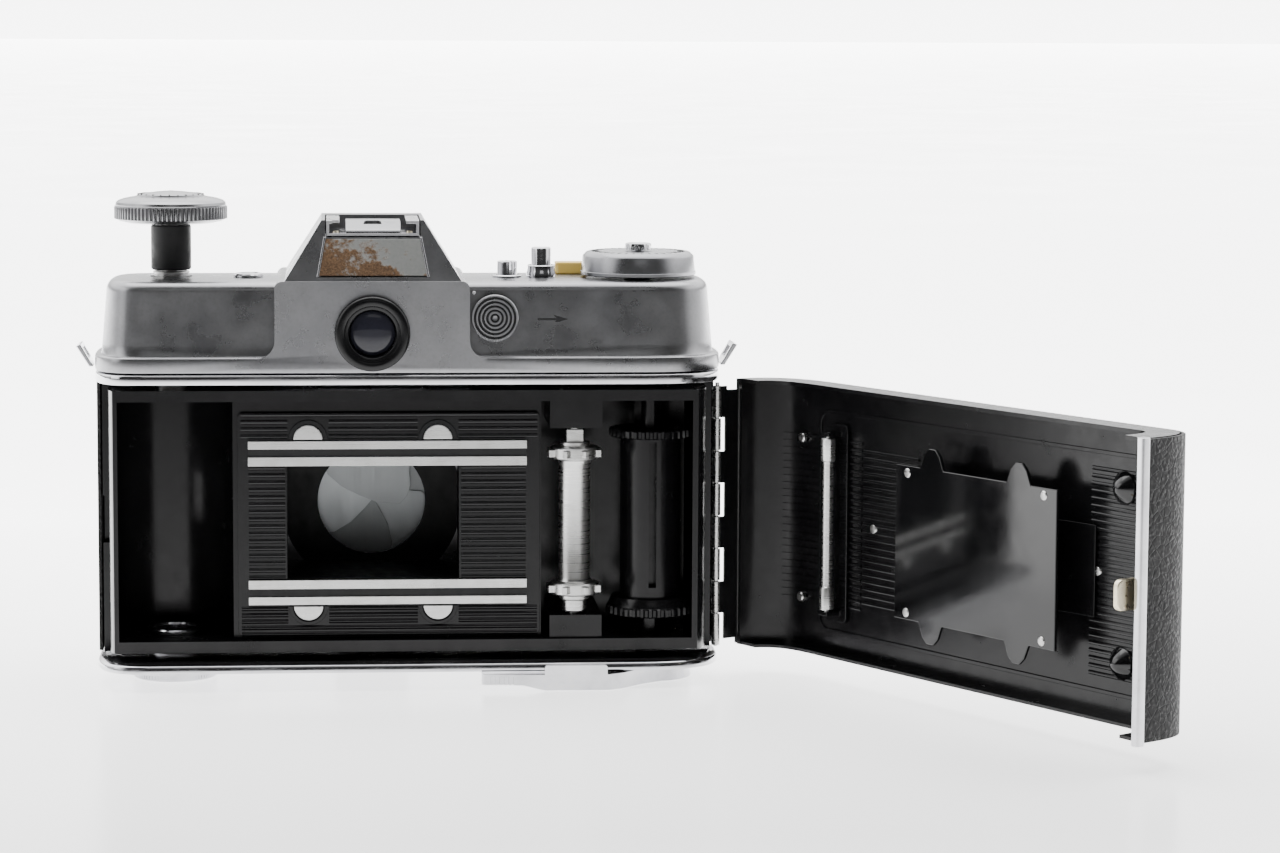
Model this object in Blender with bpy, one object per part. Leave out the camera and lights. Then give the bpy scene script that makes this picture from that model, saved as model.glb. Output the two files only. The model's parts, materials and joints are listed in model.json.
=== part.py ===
"""35 mm leaf-shutter reflex camera, standing on its base with the back door open.

Frame: X to the right seen from the back, Y from the back towards the lens, Z up.
The film plane is Y = 0, the lens axis crosses it at X = 0, and Z = 0 is the outer
face of the bottom plate.  The design is written in millimetres; mesh_object scales
it to metres.
"""
import math

import bmesh
import bpy
from mathutils import Matrix, Vector

# ---------------------------------------------------------------- driving sizes (mm)
SCALE = 0.001            # millimetres to metres
GAP = 0.3                # running gap between neighbouring pieces

MID_Y = 8.0              # depth of the widest line of the body's plan
HALF_DEPTH = 17.0        # half of the body's thickness
LEFT_CENTRE = -45.8      # where the left rounded end starts
LEFT_REACH = 12.0
RIGHT_CENTRE = 53.0      # where the right rounded end starts
RIGHT_REACH = 20.0
ROUNDNESS = 3.0          # superellipse exponent of the rounded ends
BACK_Y = MID_Y - HALF_DEPTH
FRONT_Y = MID_Y + HALF_DEPTH

LENS_Z = 30.5            # height of the lens axis
PLATE_TOP = 2.0          # top of the bottom plate
FOOT_Z = -3.6            # what the camera stands on
CAST_LOW, CAST_HIGH = 2.3, 60.1
LIP_LOW, LIP_HIGH = 3.5, 58.6      # back part of the casting, inside the door's rims
FLOOR_Z, CEILING_Z = 5.9, 56.3     # film chambers
CAST_BACK = -2.0
BELT_LOW, BELT_HIGH = 60.4, 62.6
COVER_LOW = 62.9
FLANGE_TOP = 66.2
SHOULDER_Z = 81.6        # top of the side panels
ROOF_Z = 94.2            # top of the prism roof
WALL = 1.3               # sheet thickness of the top cover
PRISM_LEFT, PRISM_RIGHT = -20.3, 19.9
PRISM_FRONT = 33.0

GATE_X, GATE_Z = 18.0, 12.0        # half sizes of the film gate
HOUSING_BACK, HOUSING_FRONT = 25.6, 36.5
SHUTTER_BACK = 36.8
BLADE_Y = 39.4
BLADE_PITCH = 0.65
BLADE_COUNT = 5

HINGE = (73.1, MID_Y)    # hinge axis of the door, parallel to Z
DOOR_OPEN = 120.5        # degrees that the door stands open
DOOR_LOW, DOOR_HIGH = 2.5, 59.8
DOOR_SHELL_OUT, DOOR_SHELL_IN = 0.7, 1.7   # insets of the door's metal skin
DOOR_PANEL_Y = BACK_Y + DOOR_SHELL_IN      # inner face of the closed door's flat panel
KNUCKLE_PITCH = 7.0
KNUCKLE_COUNT = 8
KNUCKLE_R = 0.9
PIN_R = 0.45

CHAMBER = (-42.2, 11.0)  # axis of the film cassette
REWIND = (-42.1, 11.5)
SPROCKET = (42.4, 3.0)
SPOOL = (58.9, 8.0)
DIAL = (56.05, 8.0)
RELEASE = (35.5, 8.0)
COUNTER = (28.35, 8.0)
COVER_SCREW = (-25.9, 8.0)
SLIDE_DISC = (25.1, 74.25)         # X, Z on the back of the cover
EYEPIECE = (-0.2, 71.2)            # X, Z
TRIPOD = (-42.0, 12.0)
ROLLER = (50.0, -4.0)              # with the door closed
PRESSURE_X = -1.5


# ---------------------------------------------------------------- mesh helpers
def clear_scene():
    for old in list(bpy.data.objects):
        bpy.data.objects.remove(old, do_unlink=True)


def material(name, colour, roughness, metallic, alpha=1.0):
    finish = bpy.data.materials.get(name) or bpy.data.materials.new(name)
    finish.use_nodes = True
    shader = finish.node_tree.nodes["Principled BSDF"]
    shader.inputs["Base Color"].default_value = (*colour, 1.0)
    shader.inputs["Roughness"].default_value = roughness
    shader.inputs["Metallic"].default_value = metallic
    shader.inputs["Alpha"].default_value = alpha
    return finish


FINISHES = {
    "satin_chrome": ((0.62, 0.62, 0.64), 0.38, 1.0),
    "bright_chrome": ((0.82, 0.82, 0.84), 0.12, 1.0),
    "machined_metal": ((0.80, 0.80, 0.80), 0.28, 1.0),
    "black_paint": ((0.012, 0.012, 0.013), 0.25, 0.0),
    "matt_black": ((0.010, 0.010, 0.011), 0.60, 0.0),
    "leatherette": ((0.015, 0.015, 0.016), 0.55, 0.0),
    "corroded_plate": ((0.30, 0.27, 0.24), 0.60, 0.6),
    "blade_steel": ((0.38, 0.39, 0.40), 0.35, 1.0),
    "brass": ((0.70, 0.62, 0.42), 0.35, 1.0),
    "optical_glass": ((0.90, 0.93, 0.95), 0.05, 0.0, 0.35),
    "amber_plastic": ((0.86, 0.76, 0.42), 0.20, 0.0),
    "mirror_silver": ((0.90, 0.90, 0.90), 0.05, 1.0),
}


def mesh_object(name, finish, build, origin=(0.0, 0.0, 0.0)):
    """Make an object from build(bm); its vertices are given in millimetres."""
    bm = bmesh.new()
    build(bm)
    bmesh.ops.recalc_face_normals(bm, faces=bm.faces)
    shift = Matrix.Translation(-Vector(origin))
    bmesh.ops.transform(bm, matrix=Matrix.Scale(SCALE, 4) @ shift, verts=bm.verts)
    mesh = bpy.data.meshes.new(name)
    bm.to_mesh(mesh)
    bm.free()
    mesh.shade_smooth()
    mesh.set_sharp_from_angle(angle=math.radians(30.0))
    thing = bpy.data.objects.new(name, mesh)
    bpy.context.scene.collection.objects.link(thing)
    thing.location = Vector(origin) * SCALE
    mesh.materials.append(material(finish, *FINISHES[finish]))
    return thing


def point_on(axis, first, second, along):
    """A point from its two plan coordinates and its place along an axis."""
    if axis == "X":
        return (along, first, second)
    if axis == "Y":
        return (first, along, second)
    return (first, second, along)


def prism(name, finish, plan, low, high, axis="Z", origin=(0.0, 0.0, 0.0)):
    """A closed plan, pushed along an axis from low to high."""
    def build(bm):
        ends = []
        for level in (low, high):
            ends.append([bm.verts.new(point_on(axis, u, v, level)) for u, v in plan])
            bm.faces.new(ends[-1])
        for i in range(len(plan)):
            j = (i + 1) % len(plan)
            bm.faces.new((ends[0][i], ends[0][j], ends[1][j], ends[1][i]))
    return mesh_object(name, finish, build, origin)


def block(name, finish, low, high, origin=(0.0, 0.0, 0.0)):
    plan = [(low[0], low[1]), (high[0], low[1]), (high[0], high[1]), (low[0], high[1])]
    return prism(name, finish, plan, low[2], high[2], "Z", origin)


def loft(name, finish, sections, origin=(0.0, 0.0, 0.0)):
    """A stack of plans with the same number of points, each at its own height."""
    def build(bm):
        rings = [[bm.verts.new((x, y, z)) for x, y in plan] for z, plan in sections]
        bm.faces.new(rings[0])
        bm.faces.new(rings[-1])
        for lower, upper in zip(rings, rings[1:]):
            for i in range(len(lower)):
                j = (i + 1) % len(lower)
                bm.faces.new((lower[i], lower[j], upper[j], upper[i]))
    return mesh_object(name, finish, build, origin)


def turned(name, finish, profile, centre, axis="Z", segments=24, ring=False, origin=None):
    """Turn a profile of (radius, height) round an axis through centre."""
    def build(bm):
        rows = []
        for radius, height in profile:
            if radius == 0.0:
                rows.append([bm.verts.new(point_on(axis, *centre, height))])
                continue
            row = []
            for i in range(segments):
                angle = 2.0 * math.pi * i / segments
                first = centre[0] + radius * math.cos(angle)
                second = centre[1] + radius * math.sin(angle)
                row.append(bm.verts.new(point_on(axis, first, second, height)))
            rows.append(row)
        if ring:
            rows.append(rows[0])
        for upper, lower in zip(rows, rows[1:]):
            for i in range(segments):
                j = (i + 1) % segments
                corners = [upper[i % len(upper)], upper[j % len(upper)],
                           lower[j % len(lower)], lower[i % len(lower)]]
                bm.faces.new(list(dict.fromkeys(corners)))
    if origin is None:
        origin = point_on(axis, *centre, 0.0)
    return mesh_object(name, finish, build, origin)


def rod(name, finish, radius, low, high, centre, axis="Z", segments=16, origin=None):
    profile = [(0.0, low), (radius, low), (radius, high), (0.0, high)]
    return turned(name, finish, profile, centre, axis, segments, origin=origin)


def arc(centre, radius, start, end, count):
    """Points on a circle, angles in degrees."""
    points = []
    for i in range(count + 1):
        angle = math.radians(start + (end - start) * i / count)
        points.append((centre[0] + radius * math.cos(angle), centre[1] + radius * math.sin(angle)))
    return points


def combine(target, tool, operation):
    tool.hide_render = True
    tool.display_type = "WIRE"
    boolean = target.modifiers.new(tool.name, "BOOLEAN")
    boolean.operation = operation
    boolean.solver = "EXACT"
    boolean.object = tool
    return target


def cut(target, tool):
    return combine(target, tool, "DIFFERENCE")


def add(target, tool):
    return combine(target, tool, "UNION")


def cut_block(target, label, low, high):
    return cut(target, block("cut_" + label, "matt_black", low, high))


def cut_hole(target, label, radius, low, high, centre, axis="Z", segments=16):
    return cut(target, rod("cut_" + label, "matt_black", radius, low, high, centre, axis, segments))


# ---------------------------------------------------------------- plan of the body
def plan_point(angle, inset):
    """Point of the body's plan; -90 degrees is its back, 90 its front."""
    reach, centre = RIGHT_REACH, RIGHT_CENTRE
    if math.cos(math.radians(angle)) < 0.0:
        reach, centre = LEFT_REACH, LEFT_CENTRE
    power = 2.0 / ROUNDNESS
    c = math.cos(math.radians(angle))
    s = math.sin(math.radians(angle))
    x = centre + (reach - inset) * math.copysign(abs(c) ** power, c)
    y = MID_Y + (HALF_DEPTH - inset) * math.copysign(abs(s) ** power, s)
    return (x, y)


def plan_x(side, y, inset):
    """X of the plan's left (-1) or right (1) end at depth y."""
    reach, centre = (RIGHT_REACH, RIGHT_CENTRE) if side > 0 else (LEFT_REACH, LEFT_CENTRE)
    share = min(1.0, abs(y - MID_Y) / (HALF_DEPTH - inset))
    return centre + side * (reach - inset) * (1.0 - share ** ROUNDNESS) ** (1.0 / ROUNDNESS)


QUARTER = [0.0, 12.0, 28.0, 45.0, 62.0, 78.0, 90.0]


def outline(inset):
    """The whole plan, counter-clockwise from the back right."""
    right = [-a for a in reversed(QUARTER)] + QUARTER[1:]
    left = [90.01] + [180.0 - a for a in reversed(QUARTER[:-1])] + [180.0 + a for a in QUARTER[1:]]
    return [plan_point(a, inset) for a in right + left]


def side_run(side, inset, start_y, end_y, count=7):
    """Points down one rounded end of the plan, from start_y to end_y."""
    ys = [start_y + (end_y - start_y) * i / count for i in range(count + 1)]
    return [(plan_x(side, y, inset), y) for y in ys]


def back_run(inset, right_y, left_y):
    """Plan points from the right end, along the back, to the left end."""
    points = [(plan_x(1, right_y, inset), right_y)]
    angles = [-a for a in QUARTER[1:]] + [-180.0 + a for a in reversed(QUARTER)][:-1]
    for i, angle in enumerate(angles):
        x, y = plan_point(angle - (0.01 if i == len(QUARTER) - 1 else 0.0), inset)
        if y < (right_y if i < len(QUARTER) - 1 else left_y) - 0.4:
            points.append((x, y))
    points.append((plan_x(-1, left_y, inset), left_y))
    return points


def front_run(inset, side, start_y, end_x):
    """Plan points from one end of the body, round its front corner, to end_x."""
    points = [(plan_x(side, start_y, inset), start_y)]
    for angle in QUARTER[1:]:
        x, y = plan_point(angle if side > 0 else 180.01 - angle, inset)
        if y > start_y + 0.5:
            points.append((x, y))
    points.append((end_x, FRONT_Y - inset))
    return points


# ---------------------------------------------------------------- body
def make_casting():
    upper = [(x, y) for x, y in outline(1.1) if y > 9.0]
    front_part = side_run(1, 1.1, 8.6, 8.6, 1)[:1] + upper + side_run(-1, 1.1, 8.6, 8.6, 1)[:1]
    casting = prism("body_casting", "black_paint", front_part, CAST_LOW, CAST_HIGH)
    back_part = side_run(1, 2.6, CAST_BACK, 9.5, 5) + side_run(-1, 2.6, 9.5, CAST_BACK, 5)
    add(casting, prism("add_back", "black_paint", back_part, LIP_LOW, LIP_HIGH))

    cassette = [(-29.3, -4.0), (-29.3, CHAMBER[1])] + arc(CHAMBER, 12.4, 0.0, 165.0, 10)[1:]
    cassette += side_run(-1, 3.4, CHAMBER[1], -4.0, 5)
    cut(casting, prism("cut_cassette", "black_paint", cassette, FLOOR_Z, CEILING_Z))
    take_up = [(35.3, -4.0)] + side_run(1, 3.4, -4.0, 20.5, 8) + [(35.3, 21.0)]
    cut(casting, prism("cut_take_up", "black_paint", take_up, FLOOR_Z, CEILING_Z))
    cut_block(casting, "film_path", (-29.6, -4.0, FLOOR_Z), (35.6, 1.95, CEILING_Z))
    cut_block(casting, "mirror_well", (-20.8, 2.1, 15.2), (20.8, 27.0, 62.0))
    cut_block(casting, "gate", (-GATE_X - 0.4, 0.0, LENS_Z - 12.4), (GATE_X + 0.4, 3.0, LENS_Z + 12.4))

    for label, low, high in (("low", FLOOR_Z - 0.5, 10.7), ("high", 50.4, CEILING_Z + 0.5)):
        add(casting, block("add_bearing_" + label, "black_paint", (37.0, -0.6, low), (48.0, 20.6, high)))
    cut_hole(casting, "sprocket_low", 1.35, 7.6, 11.2, SPROCKET, segments=16)
    cut_hole(casting, "sprocket_high", 1.35, 50.0, 53.6, SPROCKET, segments=16)
    cut_hole(casting, "spool_low", 3.0, 1.0, 7.0, SPOOL, segments=20)
    cut_hole(casting, "spool_high", 2.3, 55.0, 61.0, SPOOL, segments=20)
    cut_hole(casting, "rewind", 4.3, 55.0, 61.0, REWIND, segments=20)
    cut_hole(casting, "tripod", 6.0, 1.0, 7.0, TRIPOD, segments=24)
    cut_block(casting, "latch", (-57.3, 3.0, 25.5), (-53.2, 12.5, 35.5))


def rail_plan(side):
    """Two lands with two half-round guide studs on the outer edge; side 1 is the upper rail."""
    outer = LENS_Z + side * 17.3
    inner = LENS_Z + side * 12.05
    points = [(-26.1, inner), (32.2, inner), (32.2, outer)]
    for x in (13.55, -13.6):
        bump = arc((x, outer + side * 0.2), 3.0, 0.0, 180.0, 8)
        points += [(px, outer + side * 0.2 + side * abs(pz - outer - side * 0.2)) for px, pz in bump]
    points.append((-26.1, outer))
    return points


def make_film_gate():
    gate = block("film_gate_plate", "black_paint", (-28.3, 1.0, 6.4), (35.0, 1.65, 53.8))
    cut_block(gate, "gate_window", (-GATE_X, 0.0, LENS_Z - GATE_Z), (GATE_X, 3.0, LENS_Z + GATE_Z))
    for side, label in ((1, "upper"), (-1, "lower")):
        rail = prism("film_rail_" + label, "machined_metal", rail_plan(side), 0.0, 0.7, "Y")
        low, high = sorted((LENS_Z + side * 13.95, LENS_Z + side * 15.6))
        cut_block(rail, "rail_groove_" + label, (-30.0, -1.0, low), (36.0, 0.35, high))


def make_bottom():
    plate = prism("bottom_plate", "bright_chrome", outline(0.0), 0.2, PLATE_TOP)
    add(plate, block("add_raised_panel", "bright_chrome", (-20.0, -5.0, 0.0), (20.0, 24.0, 0.6)))
    cut_hole(plate, "plate_tripod", 6.3, -1.0, 3.0, TRIPOD)
    cut_hole(plate, "plate_wind", 3.4, -1.0, 3.0, SPOOL, segments=20)
    profile = [(3.2, FOOT_Z), (8.8, FOOT_Z), (8.8, -1.4), (13.8, -1.4), (13.8, -GAP), (5.7, -GAP),
               (5.7, 6.2), (6.3, 6.2), (6.3, 7.0), (0.0, 7.0)]
    turned("tripod_socket", "bright_chrome", [(0.0, 5.4), (3.2, 5.4)] + profile, TRIPOD)


def make_belt():
    belt = prism("top_belt", "bright_chrome", outline(0.0), BELT_LOW, BELT_HIGH)
    cut(belt, prism("cut_belt", "bright_chrome", outline(6.0), BELT_LOW - 1.0, BELT_HIGH + 1.0))


def prism_block_plan(inset, back_inset):
    return [(PRISM_LEFT + inset, BACK_Y + back_inset), (PRISM_RIGHT - inset, BACK_Y + back_inset),
            (PRISM_RIGHT - inset, PRISM_FRONT - inset), (PRISM_LEFT + inset, PRISM_FRONT - inset)]


def roof_sections(inset, low, high):
    """The prism roof as a loft of two rectangles, its wall moved in by inset."""
    sections = []
    for z in (low, high):
        share = (z - SHOULDER_Z) / (ROOF_Z - SHOULDER_Z)
        half = 18.4 + (10.6 - 18.4) * share - inset
        back = -8.4 + 5.2 * share + inset
        front = 32.4 - 9.0 * share - inset
        sections.append((z, [(-half, back), (half, back), (half, front), (-half, front)]))
    return sections


def make_top_cover():
    steps = [(COVER_LOW, 0.0), (FLANGE_TOP, 0.0), (FLANGE_TOP + 0.3, 1.3), (79.6, 2.6),
             (81.0, 3.3), (SHOULDER_Z, 4.6)]
    cover = loft("top_cover", "satin_chrome", [(z, outline(inset)) for z, inset in steps])
    add(cover, prism("add_prism_block", "satin_chrome", prism_block_plan(0.0, 0.0), COVER_LOW, 81.9))
    add(cover, loft("add_roof", "satin_chrome", roof_sections(0.0, SHOULDER_Z - 0.5, ROOF_Z)))

    hollow = [(COVER_LOW - 1.0, WALL), (FLANGE_TOP - 0.3, WALL), (FLANGE_TOP, WALL + 1.3),
              (79.0, WALL + 2.6), (SHOULDER_Z - WALL, WALL + 4.2)]
    cut(cover, loft("cut_cover", "satin_chrome", [(z, outline(inset)) for z, inset in hollow]))
    cut(cover, prism("cut_prism_block", "satin_chrome", prism_block_plan(WALL, WALL),
                     COVER_LOW - 1.5, 80.6))
    cut(cover, loft("cut_roof", "satin_chrome", roof_sections(WALL, 80.0, 89.4)))
    cut_block(cover, "shoe_bed", (-9.9, -12.0, 90.7), (9.9, 17.5, 97.0))
    plate_seat = [(-11.6, 82.6), (11.6, 82.6), (10.1, 90.9), (-10.1, 90.9)]
    cut(cover, tilted_plate("cut_plate_seat", plate_seat, 0.8))

    cut_hole(cover, "eyepiece", 6.0, BACK_Y - 2.0, BACK_Y + 3.0, EYEPIECE, "Y")
    cut_hole(cover, "rewind_top", 4.5, 78.0, 84.0, REWIND)
    cut_hole(cover, "counter", 2.5, 78.0, 84.0, COUNTER, segments=20)
    cut_hole(cover, "release", 2.5, 78.0, 84.0, RELEASE, segments=20)
    cut_hole(cover, "dial", 3.4, 78.0, 84.0, DIAL, segments=20)
    low = (SLIDE_DISC[0] - 2.2, BACK_Y - 2.0, SLIDE_DISC[1] - 1.8)
    cut_block(cover, "slide_slot", low, (SLIDE_DISC[0] + 7.0, BACK_Y + 6.0, SLIDE_DISC[1] + 1.8))


def tilted_plate(name, corners, thickness):
    """A plate on the roof's back slope; corners are (x, z) and it sinks by thickness."""
    def slope_y(z):
        return -8.4 + 5.2 * (z - SHOULDER_Z) / (ROOF_Z - SHOULDER_Z)

    def build(bm):
        rows = []
        for depth in (-1.0 if name.startswith("cut") else 0.05, thickness):
            rows.append([bm.verts.new((x, slope_y(z) + depth, z)) for x, z in corners])
            bm.faces.new(rows[-1])
        for i in range(len(corners)):
            j = (i + 1) % len(corners)
            bm.faces.new((rows[0][i], rows[0][j], rows[1][j], rows[1][i]))
    return mesh_object(name, "corroded_plate", build)


def make_roof_trim():
    tilted_plate("prism_rear_plate", [(-11.2, 83.0), (11.2, 83.0), (9.8, 90.4), (-9.8, 90.4)], 0.45)
    shoe_plan = [(-9.6, 91.0), (9.6, 91.0), (9.6, 94.1), (6.9, 94.1), (6.9, 93.3), (8.8, 93.3),
                 (8.8, 91.7), (-8.8, 91.7), (-8.8, 93.3), (-6.9, 93.3), (-6.9, 94.1), (-9.6, 94.1)]
    prism("accessory_shoe", "bright_chrome", shoe_plan, -3.6, 17.0, "Y")
    spring_plan = [(-3.4, 92.0), (15.5, 92.0), (15.5, 92.5), (10.0, 93.4), (2.0, 93.4), (-3.4, 92.5)]
    spring = prism("shoe_spring", "satin_chrome", spring_plan, -5.6, 5.6, "X")
    cut_block(spring, "spring_window", (-2.0, -1.2, 91.0), (2.0, 1.8, 95.0))


def make_viewfinder():
    ring = [(4.9, -11.3), (6.6, -11.5), (7.8, -10.9), (7.8, BACK_Y - GAP), (5.6, BACK_Y - GAP),
            (5.6, -5.5), (4.9, -5.5)]
    turned("eyepiece_ring", "black_paint", ring, EYEPIECE, "Y", 28, ring=True)
    turned("eyepiece_glass", "optical_glass", [(0.0, -9.9), (2.6, -9.75), (4.6, -9.3), (4.6, -8.4),
                                               (0.0, -8.4)], EYEPIECE, "Y", 20)
    side = [(3.0, 64.0), (30.0, 64.0), (30.6, 72.0), (17.0, 87.6), (3.0, 79.0)]
    prism("pentaprism", "optical_glass", side, -11.0, 11.0, "X")
    block("focusing_screen", "optical_glass", (-18.4, 8.0, 46.4), (18.4, 34.0, 47.6))


def make_mirror_box():
    box = block("mirror_box", "matt_black", (-20.4, 2.4, 15.6), (20.4, 36.2, 48.2))
    cut_block(box, "mirror_box", (-18.8, 3.7, 17.2), (18.8, 38.0, 50.0))
    cut_block(box, "mirror_box_gate", (-GATE_X, 1.0, LENS_Z - GATE_Z), (GATE_X, 5.0, LENS_Z + GATE_Z))
    pivot = (0.0, 9.0, 45.2)
    mirror = block("reflex_mirror", "mirror_silver", (-16.5, 9.0, 44.6), (16.5, 36.0, 45.8), pivot)
    add(mirror, rod("add_mirror_axle", "mirror_silver", 0.75, -18.5, 18.5, pivot[1:], "X", 12))
    pivot = (0.0, 4.8, 43.7)
    flap = block("capping_plate", "matt_black", (-17.6, 4.8, 43.4), (17.6, 31.0, 44.0), pivot)
    add(flap, rod("add_flap_axle", "matt_black", 0.6, -18.5, 18.5, pivot[1:], "X", 12))


def rounded_rectangle(low_x, high_x, low_z, high_z, radius, steps=4):
    points = arc((high_x - radius, low_z + radius), radius, -90.0, 0.0, steps)
    points += arc((high_x - radius, high_z - radius), radius, 0.0, 90.0, steps)
    points += arc((low_x + radius, high_z - radius), radius, 90.0, 180.0, steps)
    points += arc((low_x + radius, low_z + radius), radius, 180.0, 270.0, steps)
    return points


def make_front():
    plan = rounded_rectangle(-30.0, 30.0, 2.6, 62.2, 6.0)
    housing = prism("front_housing", "satin_chrome", plan, HOUSING_BACK, HOUSING_FRONT, "Y")
    cut_block(housing, "housing", (-20.8, 20.0, 15.2), (20.8, 40.0, 48.6))
    add(housing, block("add_front_foot", "satin_chrome", (-8.0, 28.0, FOOT_Z), (8.0, 35.0, 4.0)))

    centre = (0.0, LENS_Z)
    shutter = [(12.3, SHUTTER_BACK), (27.0, SHUTTER_BACK), (27.0, 47.0), (12.5, 47.0),
               (12.5, 43.4), (24.0, 43.4), (24.0, 39.0), (12.3, 39.0)]
    turned("shutter_housing", "satin_chrome", shutter, centre, "Y", 32, ring=True)
    barrel = [(13.4, 47.3), (21.8, 47.3), (21.8, 62.6), (24.6, 62.6), (24.6, 66.0), (15.0, 66.0),
              (15.0, 56.5), (13.4, 56.5)]
    turned("lens_barrel", "black_paint", barrel, centre, "Y", 32, ring=True)
    aperture = [(22.2, 47.4), (27.2, 47.4), (27.2, 53.4), (22.2, 53.4)]
    turned("aperture_ring", "satin_chrome", aperture, centre, "Y", 32, ring=True)
    focus = [(22.2, 53.8), (26.4, 53.8), (26.4, 62.2), (22.2, 62.2)]
    turned("focus_ring", "black_paint", focus, centre, "Y", 32, ring=True)
    front = [(0.0, 63.6), (8.0, 63.0), (14.6, 61.0), (14.6, 58.5), (0.0, 58.0)]
    turned("lens_front_glass", "optical_glass", front, centre, "Y", 24)
    rear = [(0.0, 47.8), (8.0, 48.2), (13.0, 49.2), (13.0, 51.4), (0.0, 52.2)]
    turned("lens_rear_glass", "optical_glass", rear, centre, "Y", 24)
    block("meter_cell_window", "optical_glass", (-15.0, 33.3, 66.0), (15.0, 34.8, 78.5))


def blade_plan(pivot_angle):
    """A shutter blade: a broad leaf over its share of the opening, and a neck to its pivot."""
    leaf = [(15.6, 2.0), (11.5, 7.6), (6.4, 10.6), (0.6, 2.6), (-0.9, -0.8), (3.4, -7.0),
            (10.2, -8.4), (15.4, -2.6), (17.9, -2.4), (19.0, 0.0), (17.9, 2.4)]
    turn = math.radians(pivot_angle)
    points = []
    for x, z in leaf:
        points.append((x * math.cos(turn) - z * math.sin(turn),
                       LENS_Z + x * math.sin(turn) + z * math.cos(turn)))
    return points


def make_blades():
    for i in range(BLADE_COUNT):
        angle = 90.0 + 360.0 * i / BLADE_COUNT
        low = BLADE_Y + BLADE_PITCH * i
        pivot = (17.0 * math.cos(math.radians(angle)), low,
                 LENS_Z + 17.0 * math.sin(math.radians(angle)))
        name = "shutter_blade_%d" % (i + 1)
        prism(name, "blade_steel", blade_plan(angle), low, low + 0.3, "Y", pivot)


def make_leather():
    for side, label, start in ((-1, "left", 8.9), (1, "right", 13.0)):
        end_x = side * 30.4
        outer = front_run(0.0, side, start, end_x)
        inner = front_run(0.8, side, start, end_x)
        prism("body_leather_" + label, "leatherette", outer + inner[::-1], 2.4, 60.0)


def make_strap_lugs():
    for side, label, x in ((-1, "left", -58.1), (1, "right", 73.3)):
        plan = [(x, 63.2), (x + side * 2.7, 67.9), (x + side * 3.6, 67.5), (x + side * 0.9, 63.2)]
        lug = prism("strap_lug_" + label, "bright_chrome", plan, 4.0, 12.0, "Y")
        low_x, high_x = sorted((x, x + side * 6.0))
        cut_block(lug, "lug_slot_" + label, (low_x, 5.6, 65.0), (high_x, 10.4, 67.0))


# ---------------------------------------------------------------- controls on the cover
def make_rewind():
    x, y = REWIND
    sleeve = [(2.3, 83.0), (4.2, 83.0), (4.2, 92.4), (2.3, 92.4)]
    turned("rewind_sleeve", "matt_black", sleeve, REWIND, "Z", 20, ring=True)
    shaft = turned("rewind_shaft", "machined_metal", [(0.0, 57.3), (3.85, 57.3), (3.85, 82.7), (2.0, 82.7),
                                                      (2.0, 92.6), (0.0, 92.6)], REWIND, "Z", 20)
    cut_block(shaft, "fork", (x - 5.0, y - 1.1, 56.0), (x + 5.0, y + 1.1, 62.0))
    knob = [(0.0, 92.9), (9.6, 92.9), (10.8, 93.4), (11.8, 93.9), (11.8, 96.8), (11.2, 97.8), (9.4, 98.4),
            (7.0, 98.6), (6.6, 99.5), (0.0, 99.7)]
    turned("rewind_knob", "satin_chrome", knob, REWIND, "Z", 32)


def make_buttons():
    screw = turned("cover_screw", "bright_chrome", [(0.0, 81.95), (3.1, 81.95), (3.1, 82.3), (2.5, 82.6),
                                                    (0.0, 82.6)], COVER_SCREW, "Z", 16)
    cut_block(screw, "screw_slot", (COVER_SCREW[0] - 4.0, 7.6, 82.3), (COVER_SCREW[0] + 4.0, 8.4, 83.0))
    button = turned("counter_button", "bright_chrome", [(0.0, 74.0), (2.1, 74.0), (2.1, 84.7),
                                                        (1.8, 85.0), (0.0, 85.0)], COUNTER, "Z", 16)
    cut_block(button, "button_slot", (COUNTER[0] - 4.0, 7.6, 83.6), (COUNTER[0] + 4.0, 8.4, 86.0))
    turned("shutter_release", "bright_chrome", [(0.0, 72.0), (2.1, 72.0), (2.1, 87.5), (1.8, 87.9),
                                                (0.8, 87.9), (0.8, 85.4), (0.0, 85.4)], RELEASE, "Z", 16)
    turned("release_collar", "bright_chrome", [(2.4, 81.95), (3.1, 81.95), (2.9, 84.2), (2.4, 84.2)],
           RELEASE, "Z", 16, ring=True)
    turned("counter_slide", "satin_chrome", [(0.0, -8.5), (4.87, -8.5), (4.87, -7.75), (1.5, -7.75),
                                             (1.5, -3.0), (0.0, -3.0)], SLIDE_DISC, "Y", 24)


def make_meter():
    dial = [(1.6, 76.0), (3.0, 76.0), (3.0, 82.1), (12.2, 82.1), (11.75, 86.2), (10.9, 87.1), (1.6, 87.1)]
    turned("meter_dial", "satin_chrome", dial, DIAL, "Z", 32, ring=True)
    knob = [(0.0, 76.0), (1.3, 76.0), (1.3, 87.4), (2.8, 87.4), (2.8, 88.5), (2.5, 88.8), (0.0, 88.8)]
    turned("meter_knob", "bright_chrome", knob, DIAL, "Z", 16)
    block("meter_window", "amber_plastic", (38.9, 15.6, 81.95), (45.8, 19.8, 84.2))


# ---------------------------------------------------------------- film transport
def make_wind_lever():
    arm = [(58.9 + 8.8 * math.cos(math.radians(a)), 8.0 + 8.8 * math.sin(math.radians(a)))
           for a in range(-80, 176, 17)]
    arm += [(48.6, 4.0), (43.0, -2.4), (29.5, -4.6), (22.6, -5.0), (22.4, -9.4), (30.0, -10.4),
            (49.0, -10.4), (56.0, -4.2)]
    lever = prism("wind_lever", "bright_chrome", arm, FOOT_Z, -GAP, "Z", (*SPOOL, 0.0))
    add(lever, block("add_tab", "bright_chrome", (35.5, -10.4, -1.0), (48.6, -9.35, 1.65)))
    add(lever, rod("add_wind_shaft", "bright_chrome", 3.0, -1.5, 2.1, SPOOL, segments=20))


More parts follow.
